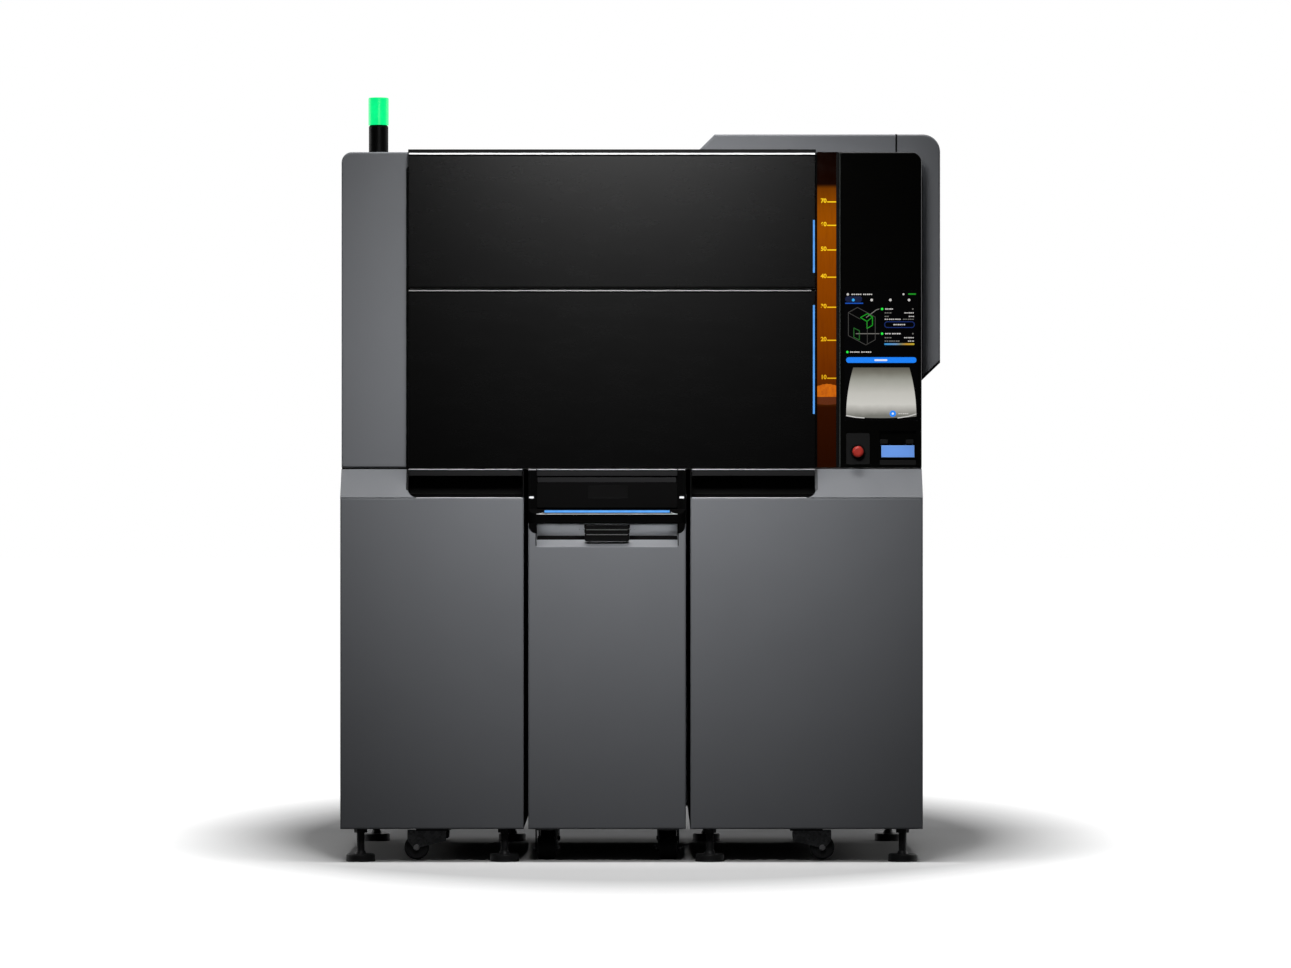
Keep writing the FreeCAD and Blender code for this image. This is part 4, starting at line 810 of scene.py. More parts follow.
def make_cart_face():
    """The handle unit's face over the bar: two paler bands that paint reflections, the plate under them and its shallow
    field; the deck fascia beside it carries the same painted reflection.
    """
    grey = coated_finish("band_painted_reflection", (0.0105, 0.0105, 0.011), 0.5, 0.06, depth=0.00005)
    bands = [rounded("cart_face_bands", (left, -507.0, low), (right, -505.5, high), edges("Y"), 2.0, 3)
             for left, right, low, high in ((-279.0, 94.0, 1024.6, 1037.6), (-277.0, 91.0, 1007.4, 1020.6))]
    bands = [round_edges(band, edges(y_under=-506.9), 0.4) for band in bands]
    settle(merge("cart_face_bands", bands), grey, "cart")
    plate = rounded("cart_face_plate", (-279.0, -506.9, 940.0), (94.0, -505.5, 1006.4), edges("Y"), 3.0, 3)
    settle(plate, coated_finish("face_black", (0.0012, 0.0012, 0.0012), 0.5, 0.03, depth=0.00005), "cart")
    field = rounded("cart_face_field", (-144.0, -507.2, 964.5), (-37.0, -506.0, 998.5), edges("Y"), 3.0, 3)
    fit(sink(field, AHEAD, 1.2, 0.25), "trim_black", "cart")
    # the fascia's paler grey paints the same reflection beside the recess
    fascia = [rounded("deck_fascia", (left, -509.4, 1024.6), (right, -506.6, 1039.8), edges("X", z_under=1025), 0.9)
              for left, right in ((-619.0, -318.8), (133.8, 459.0))]
    settle(merge("deck_fascia", fascia), grey, "cabinet")


def make_latch():
    """The latch lever: three steps that come forward downwards, each with a grey ridge that paints the highlight on its
    edge; caps of its lugs.
    """
    steps, ridges = [], []
    for front, low, high, narrow in (
            (-532.0, 882.6, 895.7, 0.0), (-536.0, 869.6, 883.4, 0.6), (-540.0, 850.7, 870.4, 1.4)):
        step = rounded("cart_latch_lever", (-153.4 + narrow, front, low), (-31.6 - narrow, -521.0, high),
                       edges("Y", z_under=low + 0.1), 6.0, 5)
        steps.append(round_edges(step, edges(y_under=front + 0.05), 1.0))
        ridges.append(rounded("cart_latch_ridges", (-147.0, front - 0.35, high - 2.6), (-38.0, front + 1.0, high - 1.3),
                              lambda edge: runs_along(edge, "Z") or runs_along(edge, "X"), 0.3))
    cap = rounded("latch_lug_caps", (-166.3, -535.5, 881.3), (-153.9, -529.0, 897.5), edges("Y", z_under=882), 4.0, 4)
    fit(repeat("latch_lug_caps", cap, [(135.2, 0, 0)]), "body_grey", "cart")
    lever = fit(merge("cart_latch_lever", steps), "trim_black", "cart_latch")
    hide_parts("cart_latch")
    settle(merge("cart_latch_ridges", ridges), coated_finish("ridge_painted_highlight", (0.12, 0.12, 0.12), 0.4, 0.2),
           "cart_latch")


def slope_strip(name, inner, outer):
    """A thin strip that lies on the sloped shoulder beside the recess, rounded off at its lower outer corner."""
    strip = start_block(name, (inner, -524.6, 986.0), (outer, -522.8, 1043.0))
    shift_corners(strip, lambda corner: centre_of(corner).z > 1040, (0, 48.7, 0))
    return round_edges(strip, lambda edge: runs_along(edge, "Y") and abs(centre_of(edge).x - outer) < 0.1
                       and centre_of(edge).z < 987, 5.0, 5)


def make_deck_nose():
    """Pale strips that paint the highlights on the front edges of the deck and of the panels below it, and dark strips
    beside the recess that paint its shadow on the shoulders.
    """
    pale = coated_finish("deck_nose_painted_highlight", (0.54, 0.54, 0.55), 0.4, 0.3, depth=0.00004)
    noses = [rounded("deck_nose", (left, -511.0, 1040.6), (right, -474.0, 1042.8), edges("X", y_under=-510), 0.8, 3)
             for left, right in ((-620.0, -318.5), (133.5, 460.0))]
    settle(merge("deck_nose", noses), pale, "cabinet")
    brow = edges("X", y_under=-540, z_over=967)
    tops = [rounded("panel_top_edges", (left, -540.5, 965.5), (right, -537.0, 967.3), brow, 0.7, 3)
            for left, right in ((-598.0, -318.8), (133.6, 436.0))]
    settle(merge("panel_top_edges", tops), pale, "cabinet")
    # painted shadow beside the recess: a black strip on the left shoulder, a dark grey one on the right
    fit(slope_strip("recess_edge_left", -620.6, -626.4), "trim_black")
    shade = coated_finish("recess_edge_painted_shade", (0.05, 0.051, 0.053), 0.45, 0.15, depth=0.00004)
    settle(slope_strip("recess_edge_right", 460.0, 467.2), shade, "cabinet")


def make_door_edges():
    """Pale strips on the top edges of both doors that paint their highlights, dark grooves under them, and the black
    seal beside the window.
    """
    # painted highlights: a bright strip on the upper door's top edge, a duller one on the lower door's
    bright = coated_finish("door_edge_painted_highlight", (0.72, 0.72, 0.72), 0.35, 0.3, depth=0.00004)
    crown = rounded("upper_door_edge", (-618.5, -515.7, 1877.8), (459.5, -509.0, 1881.6),
                    edges("X", y_under=-515, z_over=1881), 2.8, 1)
    settle(crown, bright, "upper_door")
    dull = coated_finish("dim_door_edge_painted_highlight", (0.27, 0.27, 0.27), 0.4, 0.2, depth=0.00004)
    ledge = rounded("lower_door_edge", (-618.5, -515.6, 1515.0), (449.0, -510.0, 1518.4),
                    edges("X", y_under=-515, z_over=1518), 2.4, 1)
    settle(ledge, dull, "lower_door")
    gap_black = coated_finish("gap_black", (0.0008, 0.0008, 0.0008), 0.6, 0.02, depth=0.00004)
    left, front = -619.5, -515.3
    for name, door, lines in (
            ("upper_door_dark_lines", "upper_door",
             ((460.0, -514.0, 1873.6, 1877.2, 1.0), (460.4, -505.0, 1523.0, 1527.8, 1.0))),
            ("lower_door_groove", "lower_door",
             ((450.0, -514.0, 1511.0, 1514.6, 1.0), (450.0, -512.0, 1518.5, 1520.4, 0.6)))):
        bars = [rounded(name, (left, front, low), (right, back, high), edges("Y"), radius)
                for right, back, low, high, radius in lines]
        settle(merge(name, bars), gap_black, door)
    for door in ("upper_door", "lower_door"):
        low, high = box_of(door + "_light")
        fit(rounded(door + "_light_lip", (low.x - 0.8, low.y - 0.4, low.z - 0.4),
                    (low.x + 1.7, low.y + 2.0, high.z + 0.4), edges("Z"), 0.3), "trim_black", door)
    fit(rounded("door_side_seal", (461.6, -476.6, 1047.5), (466.7, -466.0, 1884.0), edges("Z", y_under=-476), 0.8, 3),
        "trim_black")


def make_hood_seam():
    """The dark joint between the hood's covers, black strips that paint the shadows beside column and doors, the hood's
    lower lip.
    """
    for name, first, second, wanted, radius, segments in (
            ("hood_seam", (679.6, -365.6, 1887.6), (684.4, 154.0, 1941.4), edges("X"), 1.5, 2),
            # black strips that paint the column's shadow on the hood and the door's shadow on the shroud
            ("hood_painted_shadow", (741.0, -366.0, 1284.0), (752.2, -364.2, 1832.0),
             edges("Y", x_over=752, z_over=1831), 9.0, 6),
            ("shroud_painted_shadow", (-627.6, -475.9, 1047.5), (-617.0, -474.2, 1848.0),
             edges("Y", x_under=-627, z_over=1847), 8.0, 6),
            ("shoulder_seam", (-798.5, -475.8, 1042.4), (-620.0, -474.2, 1046.2), edges("X"), 0.6, 2)):
        fit(rounded(name, first, second, wanted, radius, segments), "trim_black")
    lip = start_block("hood_lower_lip", (742.0, -366.2, 1273.2), (799.6, 154.0, 1281.6))
    shift_corners(lip, lambda corner: centre_of(corner).x > 799, (0, 0, 55.0))
    fit(round_edges(lip, edges(y_under=-365.7), 0.6), "trim_black")


# Casing: heads, seams, covers and louvres on the rear, the sides and the roof

REAR_FACE, LEFT_FACE, RIGHT_FACE, ROOF_FACE = 540.0, -800.0, 745.0, 1887.0


def along(place, way, distance):
    return [spot + step * distance for spot, step in zip(place, way)]


def axis_of(way):
    return [abs(step) for step in way].index(1)


def at_level(axis, level):
    """Picks the edges at one level of an axis."""
    return lambda edge: abs(centre_of(edge)[axis] - level) < CLOSE


def grid(step, count, other=(0, 0, 0), rows=1):
    """Shifts from the first place of a row, or of several rows, to its other places."""
    places = [(column, row) for column in range(count) for row in range(rows)]
    return [[a * column + b * row for a, b in zip(step, other)] for column, row in places[1:]]


def stud(name, place, way, radius, height, sides=24, rim=0.8):
    """A round head that stands on a surface, with a rounded rim."""
    axis = axis_of(way)
    head = start_rod(name, along(place, way, height / 2), radius, height, "XYZ"[axis], sides)
    return round_edges(head, at_level(axis, along(place, way, height)[axis]), rim)


def sink(piece, way, wall, depth):
    """Sinks the flat top of a head or plate inside a wall."""
    return push_in(piece, lambda face: face.normal.dot(Vector(way)) > FLAT and face.calc_area() > 4e-6,
                   wall, [-step * depth for step in way])


def socket_screw(name, place, way):
    """A button screw with a socket."""
    return sink(stud(name, place, way, 5.5, 2.2, 12, 1.1), way, 1.9, 1.2)


def quarter_lock(name, place, way):
    """A quarter-turn lock: a ringed head with a raised turning bar."""
    head = sink(stud(name, place, way, 13.0, 2.4, 28, 0.7), way, 2.4, 1.1)
    half = (1.7 * abs(way[1]), 1.7 * abs(way[0]), 8.2)
    first = along(along(place, way, 0.8), half, -1)
    second = along(along(place, way, 2.6), half, 1)
    return merge(name, [head, rounded(name, first, second, edges(), 0.5)])


def louvre(name, place, way, wide):
    """A pressed louvre: a hood with a rounded brow, open below."""
    across = (abs(way[1]), abs(way[0]), 0)
    low = along(along(place, across, -wide / 2), UP, -5.0)
    high = along(along(along(place, across, wide / 2), UP, 10.0), way, 6.0)
    at_face = at_level(axis_of(way), high[axis_of(way)])
    hood = rounded(name, low, high, lambda edge: at_face(edge) and centre_of(edge).z > low[2] + 1, 4.5, 4)
    return push_in(hood, lambda face: looks(face, DOWN) and face.calc_area() > 4e-4, 1.1, (0, 0, 9.0))


def cover(name, first, second, way, corner, edge):
    """A flat cover with round corners and a rounded outer edge."""
    axis = axis_of(way)
    plate = rounded(name, first, second, edges("XYZ"[axis]), corner, 6)
    return round_edges(plate, at_level(axis, second[axis]), edge)


def make_rear():
    """Seams, screws, louvre hoods, and the hinges and locks of the two service doors."""
    seams = [rounded("rear_seams", (left, REAR_FACE - 0.5, low), (right, REAR_FACE + 0.3, high), edges("Y"), 1.0)
             for left, right, low, high in ((-797.0, 742.0, 1042.5, 1045.5), (-29.0, -26.0, 90.0, 1042.0))]
    fit(merge("rear_seams", seams), "trim_black")

    screw = socket_screw("rear_screws", (-786.0, REAR_FACE, 1872.0), REAR)
    step = (786.0 + 731.0) / 6
    shifts = grid((step, 0, 0), 7, (0, 0, -812.0), 2)
    shifts += [(side, 0, -204.0 * row) for side in (0, step * 6) for row in range(1, 4)]
    fit(repeat("rear_screws", screw, shifts), "steel")

    hood = louvre("rear_louvres", (-550.0, REAR_FACE, 717.0), REAR, 196.0)
    column = repeat("rear_louvres", hood, grid((0, 0, -26.0), 10))
    fit(repeat("rear_louvres", column, grid((1045.0, 0, 0), 2, (0, 0, 920.0), 2)), "body_grey")

    parts = [rounded("rear_hinges", (-797.0, REAR_FACE, 180.0), (-766.0, REAR_FACE + 2.0, 250.0), edges("Y"), 4.0, 3)]
    for radius, length, rim in ((4.5, 72.0, 1.2), (5.0, 24.0, 0.6)):
        barrel = start_rod("rear_hinges", (-793.0, REAR_FACE + 3.5, 215.0), radius, length, "Z", 20)
        parts.append(round_edges(barrel, lambda edge: not runs_along(edge, "Z"), rim))
    parts += [socket_screw("rear_hinges", (-776.0, REAR_FACE + 2.0, height), REAR) for height in (197.0, 233.0)]
    hinges = repeat("rear_hinges", merge("rear_hinges", parts), grid((0, 0, 320.0), 3))
    copy_to(hinges, "rear_hinges", (0, 0, 0))
    bpy.ops.transform.resize(value=(-1, 1, 1), center_override=in_metres((-27.5, 0, 0)))
    mirrored = turn_outwards(freeze("rear_hinges"))
    fit(merge("rear_hinges", [hinges, mirrored]), "frame_black")

    lock = quarter_lock("rear_locks", (-62.0, REAR_FACE, 250.0), REAR)
    fit(repeat("rear_locks", lock, grid((69.0, 0, 0), 2, (0, 0, 610.0), 2)), "zinc")


def make_connections():
    """The mains inlet with its pins and switch, and the plate of two capped gas couplings."""
    x, z = -536.75, 202.0
    ring = sink(stud("mains_inlet", (x, REAR_FACE, z), REAR, 31.0, 4.5, 40, 1.0), REAR, 3.5, 4.0)
    key = rounded("mains_inlet", (x - 4.0, REAR_FACE, z + 22.0), (x + 4.0, REAR_FACE + 4.2, z + 28.0), edges("Y"), 1.2)
    surround = cover("mains_inlet", (x + 62.0, REAR_FACE, z - 26.0), (x + 98.0, REAR_FACE + 2.6, z + 26.0),
                     REAR, 4.0, 0.8)
    sink(surround, REAR, 3.0, 1.6)
    rocker = start_block("mains_inlet", (x + 66.0, REAR_FACE + 0.5, z - 22.0), (x + 94.0, REAR_FACE + 3.4, z + 22.0))
    choose(rocker, "FACE", lambda face: looks(face, REAR))
    bpy.ops.mesh.subdivide(number_cuts=1)
    shift_corners(rocker, lambda corner: centre_of(corner).y > REAR_FACE + 3 and abs(centre_of(corner).z - z) < 1,
                  (0, -1.8, 0))
    fit(merge("mains_inlet", [ring, key, surround, rocker]), "frame_black", angle=20)
    pin = stud("mains_pins", (x - 12.0, REAR_FACE - 0.5, z + 7.0), REAR, 2.8, 4.0, 16, 1.2)
    fit(repeat("mains_pins", pin, [(24.0, 0, 0), (12.0, 0, -19.0)]), "steel")

    plate = cover("gas_plate", (430.0, REAR_FACE, 165.0), (590.0, REAR_FACE + 2.0, 239.0), REAR, 8.0, 0.7)
    screw = socket_screw("gas_plate", (440.0, REAR_FACE + 2.0, 175.0), REAR)
    screws = repeat("gas_plate", screw, grid((140.0, 0, 0), 2, (0, 0, 54.0), 2))
    fit(merge("gas_plate", [plate, screws]), "machined_aluminium")
    nut = stud("gas_couplings", (475.0, REAR_FACE + 2.0, 202.0), REAR, 17.0, 4.5, 6, 0.8)
    cap = sink(stud("gas_couplings", (475.0, REAR_FACE + 6.0, 202.0), REAR, 12.0, 3.5, 28, 1.2), REAR, 3.0, 1.0)
    fit(repeat("gas_couplings", merge("gas_couplings", [nut, cap]), [(70.0, 0, 0)]), "steel")


def make_side(name, face, way, upper):
    """One side of the casing: the seam at shoulder height, lift-off covers in dark joints, their locks."""
    out = way[0]
    skin = face + 1.3 * out
    joints = [rounded(name + "_seams", (face - out, -447.0, 1043.0), (face + 0.3 * out, 536.0, 1045.6),
                      edges("X"), 1.0)]
    covers, locks = [], []
    for y0, y1, z0, z1 in ((-400.0, 480.0, 160.0, 950.0), upper):
        joints.append(cover(name + "_seams", (face - out, y0 - 2.4, z0 - 2.4), (face + 0.25 * out, y1 + 2.4, z1 + 2.4),
                            way, 20.4, 0.1))
        covers.append(cover(name + "_covers", (face, y0, z0), (skin, y1, z1), way, 18.0, 0.7))
        lock = quarter_lock(name + "_locks", (skin, y0 + 34.0, z0 + 34.0), way)
        locks.append(repeat(name + "_locks", lock, grid((0, y1 - y0 - 68.0, 0), 2, (0, 0, z1 - z0 - 68.0), 2)))
    fit(merge(name + "_seams", joints), "trim_black")
    fit(merge(name + "_covers", covers), "body_grey")
    fit(merge(name + "_locks", locks), "zinc")
    hood = louvre(name + "_louvres", (skin, 300.0, 430.0), way, 220.0)
    fit(repeat(name + "_louvres", hood, grid((0, 0, -26.0), 8)), "body_grey")
    screw = socket_screw(name + "_screws", (face, 516.0, 130.0), way)
    shifts = grid((0, 0, 220.0), 5) + [(0, 0, 960.0 + 182.0 * row) for row in range(5)]
    fit(repeat(name + "_screws", screw, shifts), "steel")


def make_roof():
    """Joints along the roof, a row of screws, and the capped lifting points."""
    joint = rounded("roof_seams", (-624.0, -466.0, ROOF_FACE - 0.5), (-621.0, 536.0, ROOF_FACE + 0.3), edges("Z"), 1.0)
    fit(repeat("roof_seams", joint, [(1085.5, 0, 0)]), "trim_black")
    screw = socket_screw("roof_screws", (-750.0, 515.0, ROOF_FACE), UP)
    fit(repeat("roof_screws", screw, grid((240.0, 0, 0), 7)), "steel")
    cap = sink(stud("lifting_caps", (-560.0, -400.0, ROOF_FACE), UP, 18.0, 3.0, 32, 1.2), UP, 3.0, 0.9)
    fit(repeat("lifting_caps", cap, [(0, 840.0, 0), (960.0, 840.0, 0), (640.0, 0, 0)]), "frame_black")


# Base: threads and rubber rims of the feet, bolts of the casters

THREAD_RADIUS, THREAD_FOOT, THREAD_PITCH, THREAD_TURNS = 10.2, 29.5, 3.0, 27
FOOT_PLACES = [(x, y) for y in (-490.0, 382.0) for x in (-748.0, -365.5, 180.5, 693.0)]


def make_feet():
    """The thread of each foot, wound up from a small triangle, and the rubber under it."""
    clear_selection()
    bpy.ops.mesh.primitive_circle_add(vertices=3, radius=1.0 * MM, fill_type="NOTHING",
                                      location=in_metres((THREAD_RADIUS, 0, THREAD_FOOT)), rotation=TURN_TO["Y"])
    thread = freeze("foot_threads")
    wind = thread.modifiers.new("wind", "SCREW")
    wind.axis = "Z"
    wind.steps = wind.render_steps = 14
    wind.iterations = THREAD_TURNS
    wind.screw_offset = THREAD_PITCH * MM
    bpy.ops.object.modifier_apply(modifier="wind")
    choose(thread, "EDGE", lambda edge: edge.is_boundary)
    bpy.ops.mesh.fill_holes(sides=3)
    turn_outwards(thread, 0.000001)
    first = FOOT_PLACES[0]
    move(thread, "foot_threads", (*first, 0))
    shifts = [(x - first[0], y - first[1], 0) for x, y in FOOT_PLACES[1:]]
    fit(repeat("foot_threads", thread, shifts), "frame_black", "levelling_feet")
    rim = stud("foot_rubbers", (*first, 0.0), UP, 38.8, 5.0, 40, 1.4)
    fit(repeat("foot_rubbers", rim, shifts), "wheel_black", "levelling_feet")


def axle_bolts(name, axle, way, reach):
    """A bolt head and its nut at the two ends of an axle."""
    ends = []
    for side in (way, [-step for step in way]):
        ends += [stud(name, along(axle, side, reach), side, 7.8, 1.0, 24, 0.3),
                 stud(name, along(axle, side, reach + 1.0), side, 6.4, 4.0, 6, 0.8)]
    return merge(name, ends)


def make_caster_bolts():
    """Bolts through the axles: in the forks that swivel, and at the fixed rear casters."""
    for side, x in (("left", -599.75), ("right", 479.75)):
        bolts = axle_bolts("front_" + side + "_caster_bolts", (x, -470.0, 36.5), AHEAD, 20.0)
        fit(bolts, "steel", "front_" + side + "_caster_fork")
    rear = axle_bolts("rear_caster_bolts", (-556.75, 410.0, 36.5), RIGHT, 20.0)
    fit(repeat("rear_caster_bolts", rear, [(993.5, 0, 0)]), "steel")
    for side, x in (("left", -255.5), ("right", 70.5)):
        bolts = axle_bolts("cart_" + side + "_caster_bolts", (x, -410.0, 30.5), RIGHT, 31.0)
        fit(bolts, "steel", "cart_front_" + side + "_fork")


# Inside: seals, lamp reflectors, gas outlets, liners of the doors, trim of the recoater and of the cart

def seal_ring(name, low, high, wall):
    """A ring of four round-edged bars round an opening that faces the front."""
    (x0, y0, z0), (x1, y1, z1) = low, high
    corners = (((x0, y0, z0), (x1, y1, z0 + wall)), ((x0, y0, z1 - wall), (x1, y1, z1)),
               ((x0, y0, z0), (x0 + wall, y1, z1)), ((x1 - wall, y0, z0), (x1, y1, z1)))
    return merge(name, [rounded(name, first, second, edges(), 1.6, 3) for first, second in corners])


def make_chamber_fittings():
    """Seals, lamp reflectors, gas outlets and the overflow's mouth; the recoater's cover and bumpers."""
    rings = [seal_ring("chamber_seals", (-586.0, -474.0, low), (426.5, -463.0, high), 6.0)
             for low, high in ((1053.5, 1504.5), (1541.5, 1883.0))]
    fit(merge("chamber_seals", rings), "trim_black")

    shade = start_rod("lamp_reflectors", (-312.5, -190.0, 1460.0), 22.0, 356.0, "Y", 32)
    choose(shade, "FACE", lambda face: True)
    bpy.ops.mesh.bisect(plane_co=in_metres((-312.5, -190.0, 1464.0)), plane_no=UP, clear_inner=True)
    choose(shade, "FACE", lambda face: looks(face, REAR) or looks(face, AHEAD))
    bpy.ops.mesh.delete(type="FACE")
    leave_edit()
    wall = shade.modifiers.new("wall", "SOLIDIFY")
    wall.thickness = 1.0 * MM
    hold(shade)
    bpy.ops.object.modifier_apply(modifier="wall")
    fit(repeat("lamp_reflectors", shade, [(90.0, 0, 0), (350.0, 0, 0), (440.0, 0, 0)]), "machined_aluminium")

    duct = rounded("gas_outlets", (-500.0, 423.0, 1190.0), (340.0, 441.0, 1234.0), edges("X", y_under=424), 7.0, 4)
    mouth = sink(stud("gas_outlets", (-466.0, 423.0, 1212.0), AHEAD, 10.0, 3.0, 24, 0.8), AHEAD, 2.4, 2.6)
    fit(merge("gas_outlets", [duct, repeat("gas_outlets", mouth, grid((64.0, 0, 0), 13))]), "steel")
    fit(rounded("overflow_mouth", (-500.0, -352.0, 1052.6), (-470.0, -28.0, 1053.15), edges("Z"), 12.0, 6),
        "trim_black")

    plate = cover("recoater_cover", (262.0, -404.0, 1140.5), (334.0, 24.0, 1142.3), UP, 6.0, 0.6)
    screw = socket_screw("recoater_cover", (271.0, -394.0, 1142.3), UP)
    screws = repeat("recoater_cover", screw, grid((54.0, 0, 0), 2, (0, 204.0, 0), 3))
    fit(merge("recoater_cover", [plate, screws]), "steel", "recoater_carriage")
    stop = stud("recoater_bumpers", (253.0, -404.0, 1115.0), LEFT, 8.0, 6.0, 20, 2.0)
    fit(repeat("recoater_bumpers", stop, [(0, 428.0, 0)]), "wheel_black", "recoater_carriage")

    screw = socket_screw("platform_screws", (-232.5, -330.0, 702.7), UP)
    fit(repeat("platform_screws", screw, grid((280.0, 0, 0), 2, (0, 280.0, 0), 2)), "zinc", "build_platform")


def make_door_liners():
    """A pressed liner with its screws on the inner face of each door."""
    for body, z0, z1 in (("upper_door", 1558.0, 1832.0), ("lower_door", 1074.0, 1490.0)):
        name = body + "_liner"
        liner = cover(name, (-556.0, -475.3, z0), (398.0, -473.8, z1), REAR, 34.0, 0.5)
        sink(liner, REAR, 30.0, 0.9)
        screw = socket_screw(name, (-541.0, -473.8, z0 + 15.0), REAR)
        screws = repeat(name, screw, grid((231.0, 0, 0), 5, (0, 0, z1 - z0 - 30.0), 2))
        fit(merge(name, [liner, screws]), "chamber_metal", body)


def make_cart_body():
    """Side covers of the cart with their screws, and the pins and contact block at its docking end."""
    covers, screws = [], []
    for face, way in ((-301.5, LEFT), (116.5, RIGHT)):
        skin = face + 1.2 * way[0]
        covers.append(cover("cart_side_covers", (face, -440.0, 140.0), (skin, 72.0, 985.0), way, 10.0, 0.5))
        screw = socket_screw("cart_side_screws", (skin, -425.0, 155.0), way)
        screws.append(repeat("cart_side_screws", screw, grid((0, 241.0, 0), 3, (0, 0, 407.5), 3)))
    fit(merge("cart_side_covers", covers), "frame_black", "cart")
    fit(merge("cart_side_screws", screws), "zinc", "cart")
    pin = stud("docking_pins", (-242.5, 100.0, 330.0), REAR, 9.0, 26.0, 28, 6.0)
    fit(repeat("docking_pins", pin, [(300.0, 0, 0)]), "steel", "cart")
    contact = cover("docking_contacts", (-142.5, 100.0, 305.0), (-42.5, 112.0, 355.0), REAR, 6.0, 1.2)
    sink(contact, REAR, 6.0, 4.0)
    blade = rounded("docking_contacts", (-126.0, 106.0, 316.0), (-122.0, 111.0, 344.0), edges(), 0.8)
    blades = repeat("docking_contacts", blade, grid((12.7, 0, 0), 6))
    fit(merge("docking_contacts", [contact, blades]), "frame_black", "cart")


# Stage, lights and camera, in metres

FLOOR_SIZE = 120.0
SURROUND_LIGHT = 0.04


def greys(*stops):
    return [(place, (tone, tone, tone)) for place, tone in stops]


def make_floor():
    """A pale floor that is white to the eye but keeps the shadow."""
    bpy.ops.object.select_all(action="DESELECT")
    bpy.ops.mesh.primitive_plane_add(size=FLOOR_SIZE, location=(0, 0, 0))
    floor = bpy.context.object
    floor.name = "floor"
    paint, tree, shader = new_finish("pale_floor")
    rays = tree.nodes.new("ShaderNodeLightPath").outputs
    seen = rays["Is Camera Ray"]
    bounced = work_out(tree, "MAXIMUM", rays["Is Glossy Ray"], rays["Is Transmission Ray"])
    shown = work_out(tree, "MAXIMUM", seen, bounced)
    away = tree.nodes.new("ShaderNodeVectorMath")
    away.operation = "LENGTH"
    tree.links.new(place_on_piece(tree, (1, 0.55, 1), shift=(0, -0.33, 0)), away.inputs[0])
    distance = away.outputs["Value"]
    round_it = spread(tree, distance, 0.0, 1.0, 0.95, 1.5)
    # emission for the camera in a band just in front of the machine paints light on the floor there, strongest next to
    # the front
    painted_front_light = blend_colours(tree, spread(tree, part_of(tree, place_on_piece(tree), "Y"), 1.0, 0.0, -1.7, -0.5),
                              greys((0.0, 0.0), (0.05, 0.26), (0.3, 0.12), (1.0, 0.02)))
    near_white = work_out(tree, "MULTIPLY", work_out(tree, "MAXIMUM", round_it, painted_front_light), seen)
    far_white = work_out(tree, "MULTIPLY", spread(tree, distance, 0.0, 1.0, 12.0, 40.0), shown)
    wire(tree, shader, Base_Color=blend_colours(tree, seen, greys((0.0, 0.10), (1.0, 0.62))),
         Emission_Strength=work_out(tree, "MAXIMUM", near_white, far_white))
    put(shader, Roughness=0.9, Specular_IOR_Level=0.0, Emission_Color=(1, 1, 1, 1))
    floor.data.materials.append(paint)


def make_surround():
    """A plain white surround that gives little light and is mirrored only at the back."""
    world = bpy.data.worlds.new("studio")
    bpy.context.scene.world = world
    world.use_nodes = True
    sky = world.node_tree
    light = sky.nodes["Background"]
    white = sky.nodes.new("ShaderNodeBackground")
    put(light, Color=(1, 1, 1, 1), Strength=SURROUND_LIGHT)
    put(white, Color=(1, 1, 1, 1), Strength=1.0)
    rays = sky.nodes.new("ShaderNodeLightPath").outputs
    where = sky.nodes.new("ShaderNodeTexCoord").outputs["Generated"]
    behind = spread(sky, part_of(sky, where, "Y"), 0.0, 1.0, -0.35, 0.25)
    bounced = work_out(sky, "MAXIMUM", rays["Is Glossy Ray"], rays["Is Transmission Ray"])
    mirrored = work_out(sky, "MULTIPLY", bounced, behind)
    mix = sky.nodes.new("ShaderNodeMixShader")
    wire(sky, mix, Fac=work_out(sky, "MAXIMUM", rays["Is Camera Ray"], mirrored))
    sky.links.new(light.outputs["Background"], mix.inputs[1])
    sky.links.new(white.outputs["Background"], mix.inputs[2])
    wire(sky, sky.nodes["World Output"], Surface=mix.outputs["Shader"])


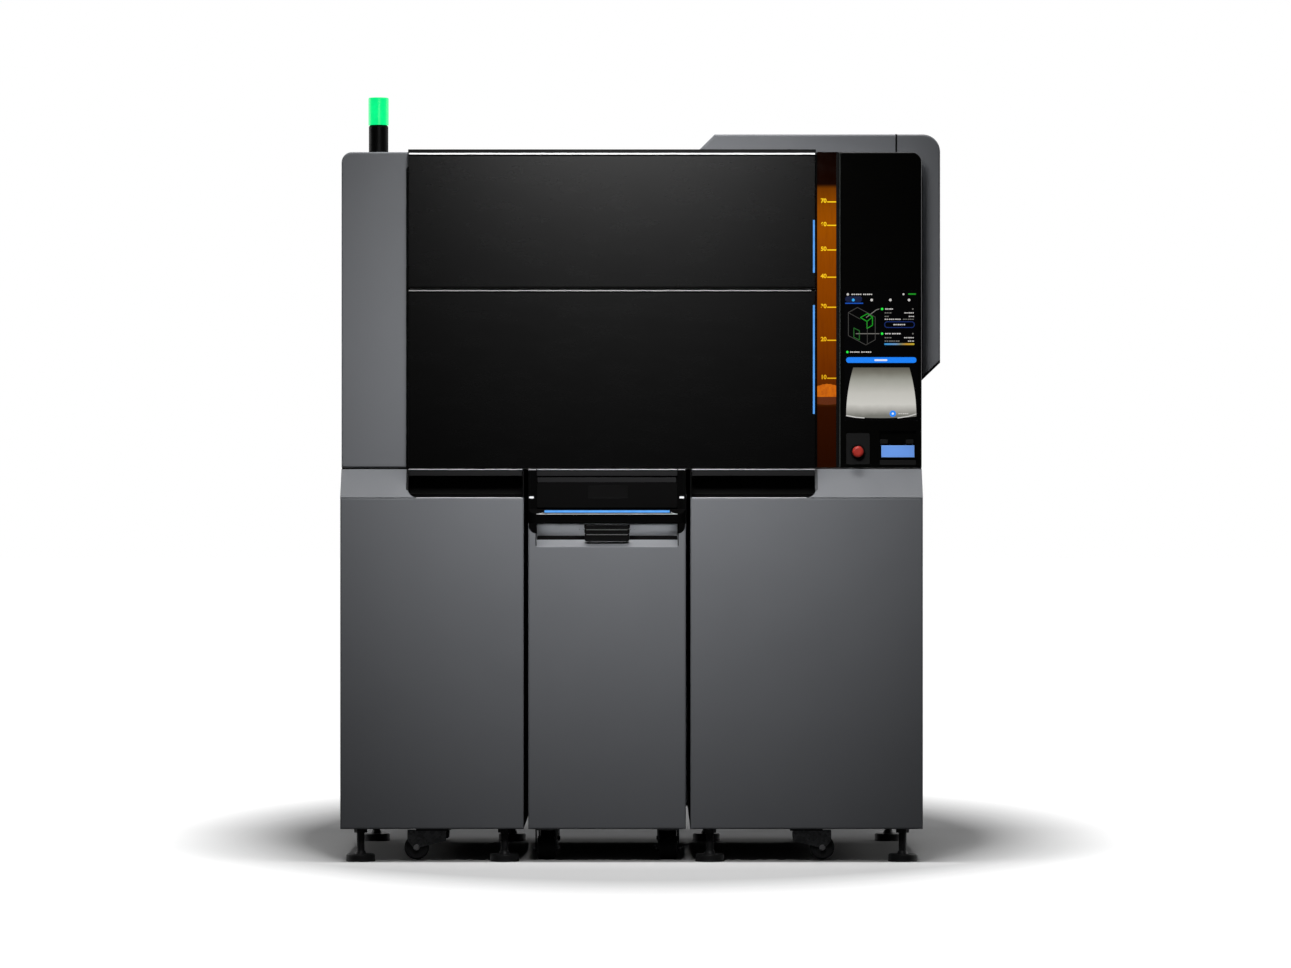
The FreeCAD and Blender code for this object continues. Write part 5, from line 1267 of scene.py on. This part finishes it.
def hang_lamp(name, place, aim, width, height, watts, beam):
    """A soft box that isn't seen itself."""
    bpy.ops.object.light_add(type="AREA", location=place)
    lamp = bpy.context.object
    lamp.name = name
    lamp.data.shape = "RECTANGLE"
    lamp.data.size = width
    lamp.data.size_y = height
    lamp.data.energy = watts
    lamp.data.spread = math.radians(beam)
    lamp.rotation_mode = "QUATERNION"
    lamp.rotation_quaternion = (Vector(aim) - Vector(place)).to_track_quat("-Z", "Y")
    lamp.visible_camera = False
    return lamp


def make_lights():
    hang_lamp("front_box", (-0.06, -2.9, 2.42), (-0.06, -0.5, 1.25), 0.86, 0.5, 9.9, 50)
    hang_lamp("over_box", (0.0, -0.6, 4.2), (0.0, -0.5, 0.0), 2.4, 1.6, 47.0, 100)
    behind = hang_lamp("back_box", (0.0, 4.4, 1.9), (0.0, 0.5, 1.55), 3.6, 1.2, 32.0, 40)
    behind.visible_glossy = False
    hang_lamp("left_box", (-4.6, 2.2, 2.0), (-0.8, 0.3, 1.3), 2.4, 1.6, 5.0, 50)
    hang_lamp("right_box", (4.6, 2.2, 2.0), (0.8, 0.3, 1.3), 2.4, 1.6, 5.0, 50)


def make_camera():
    bpy.ops.object.camera_add(location=(CAMERA_X, FRONT - CAMERA_AWAY, CAMERA_HEIGHT), rotation=(math.pi / 2, 0, 0))
    camera = bpy.context.object
    camera.name = "photo_camera"
    camera.data.sensor_fit = "HORIZONTAL"
    camera.data.sensor_width = SENSOR
    camera.data.lens = LENS
    camera.data.clip_end = 200.0
    bpy.context.scene.camera = camera


make_camera()
make_floor()
make_surround()
make_lights()
dress_solids()
make_screen()
make_screen_tops()
make_hopper_marks()
make_powder_heap()
make_window_edges()
make_column_plates()
make_cart_marks()
make_cart_face()
make_latch()
make_deck_nose()
make_door_edges()
make_hood_seam()
make_rear()
make_connections()
make_side("left_side", LEFT_FACE, LEFT, (-400.0, 480.0, 1120.0, 1820.0))
make_side("right_side", RIGHT_FACE, RIGHT, (190.0, 480.0, 1120.0, 1820.0))
make_roof()
make_feet()
make_caster_bolts()
make_chamber_fittings()
make_door_liners()
make_cart_body()

bpy.context.scene.view_settings.view_transform = "Standard"
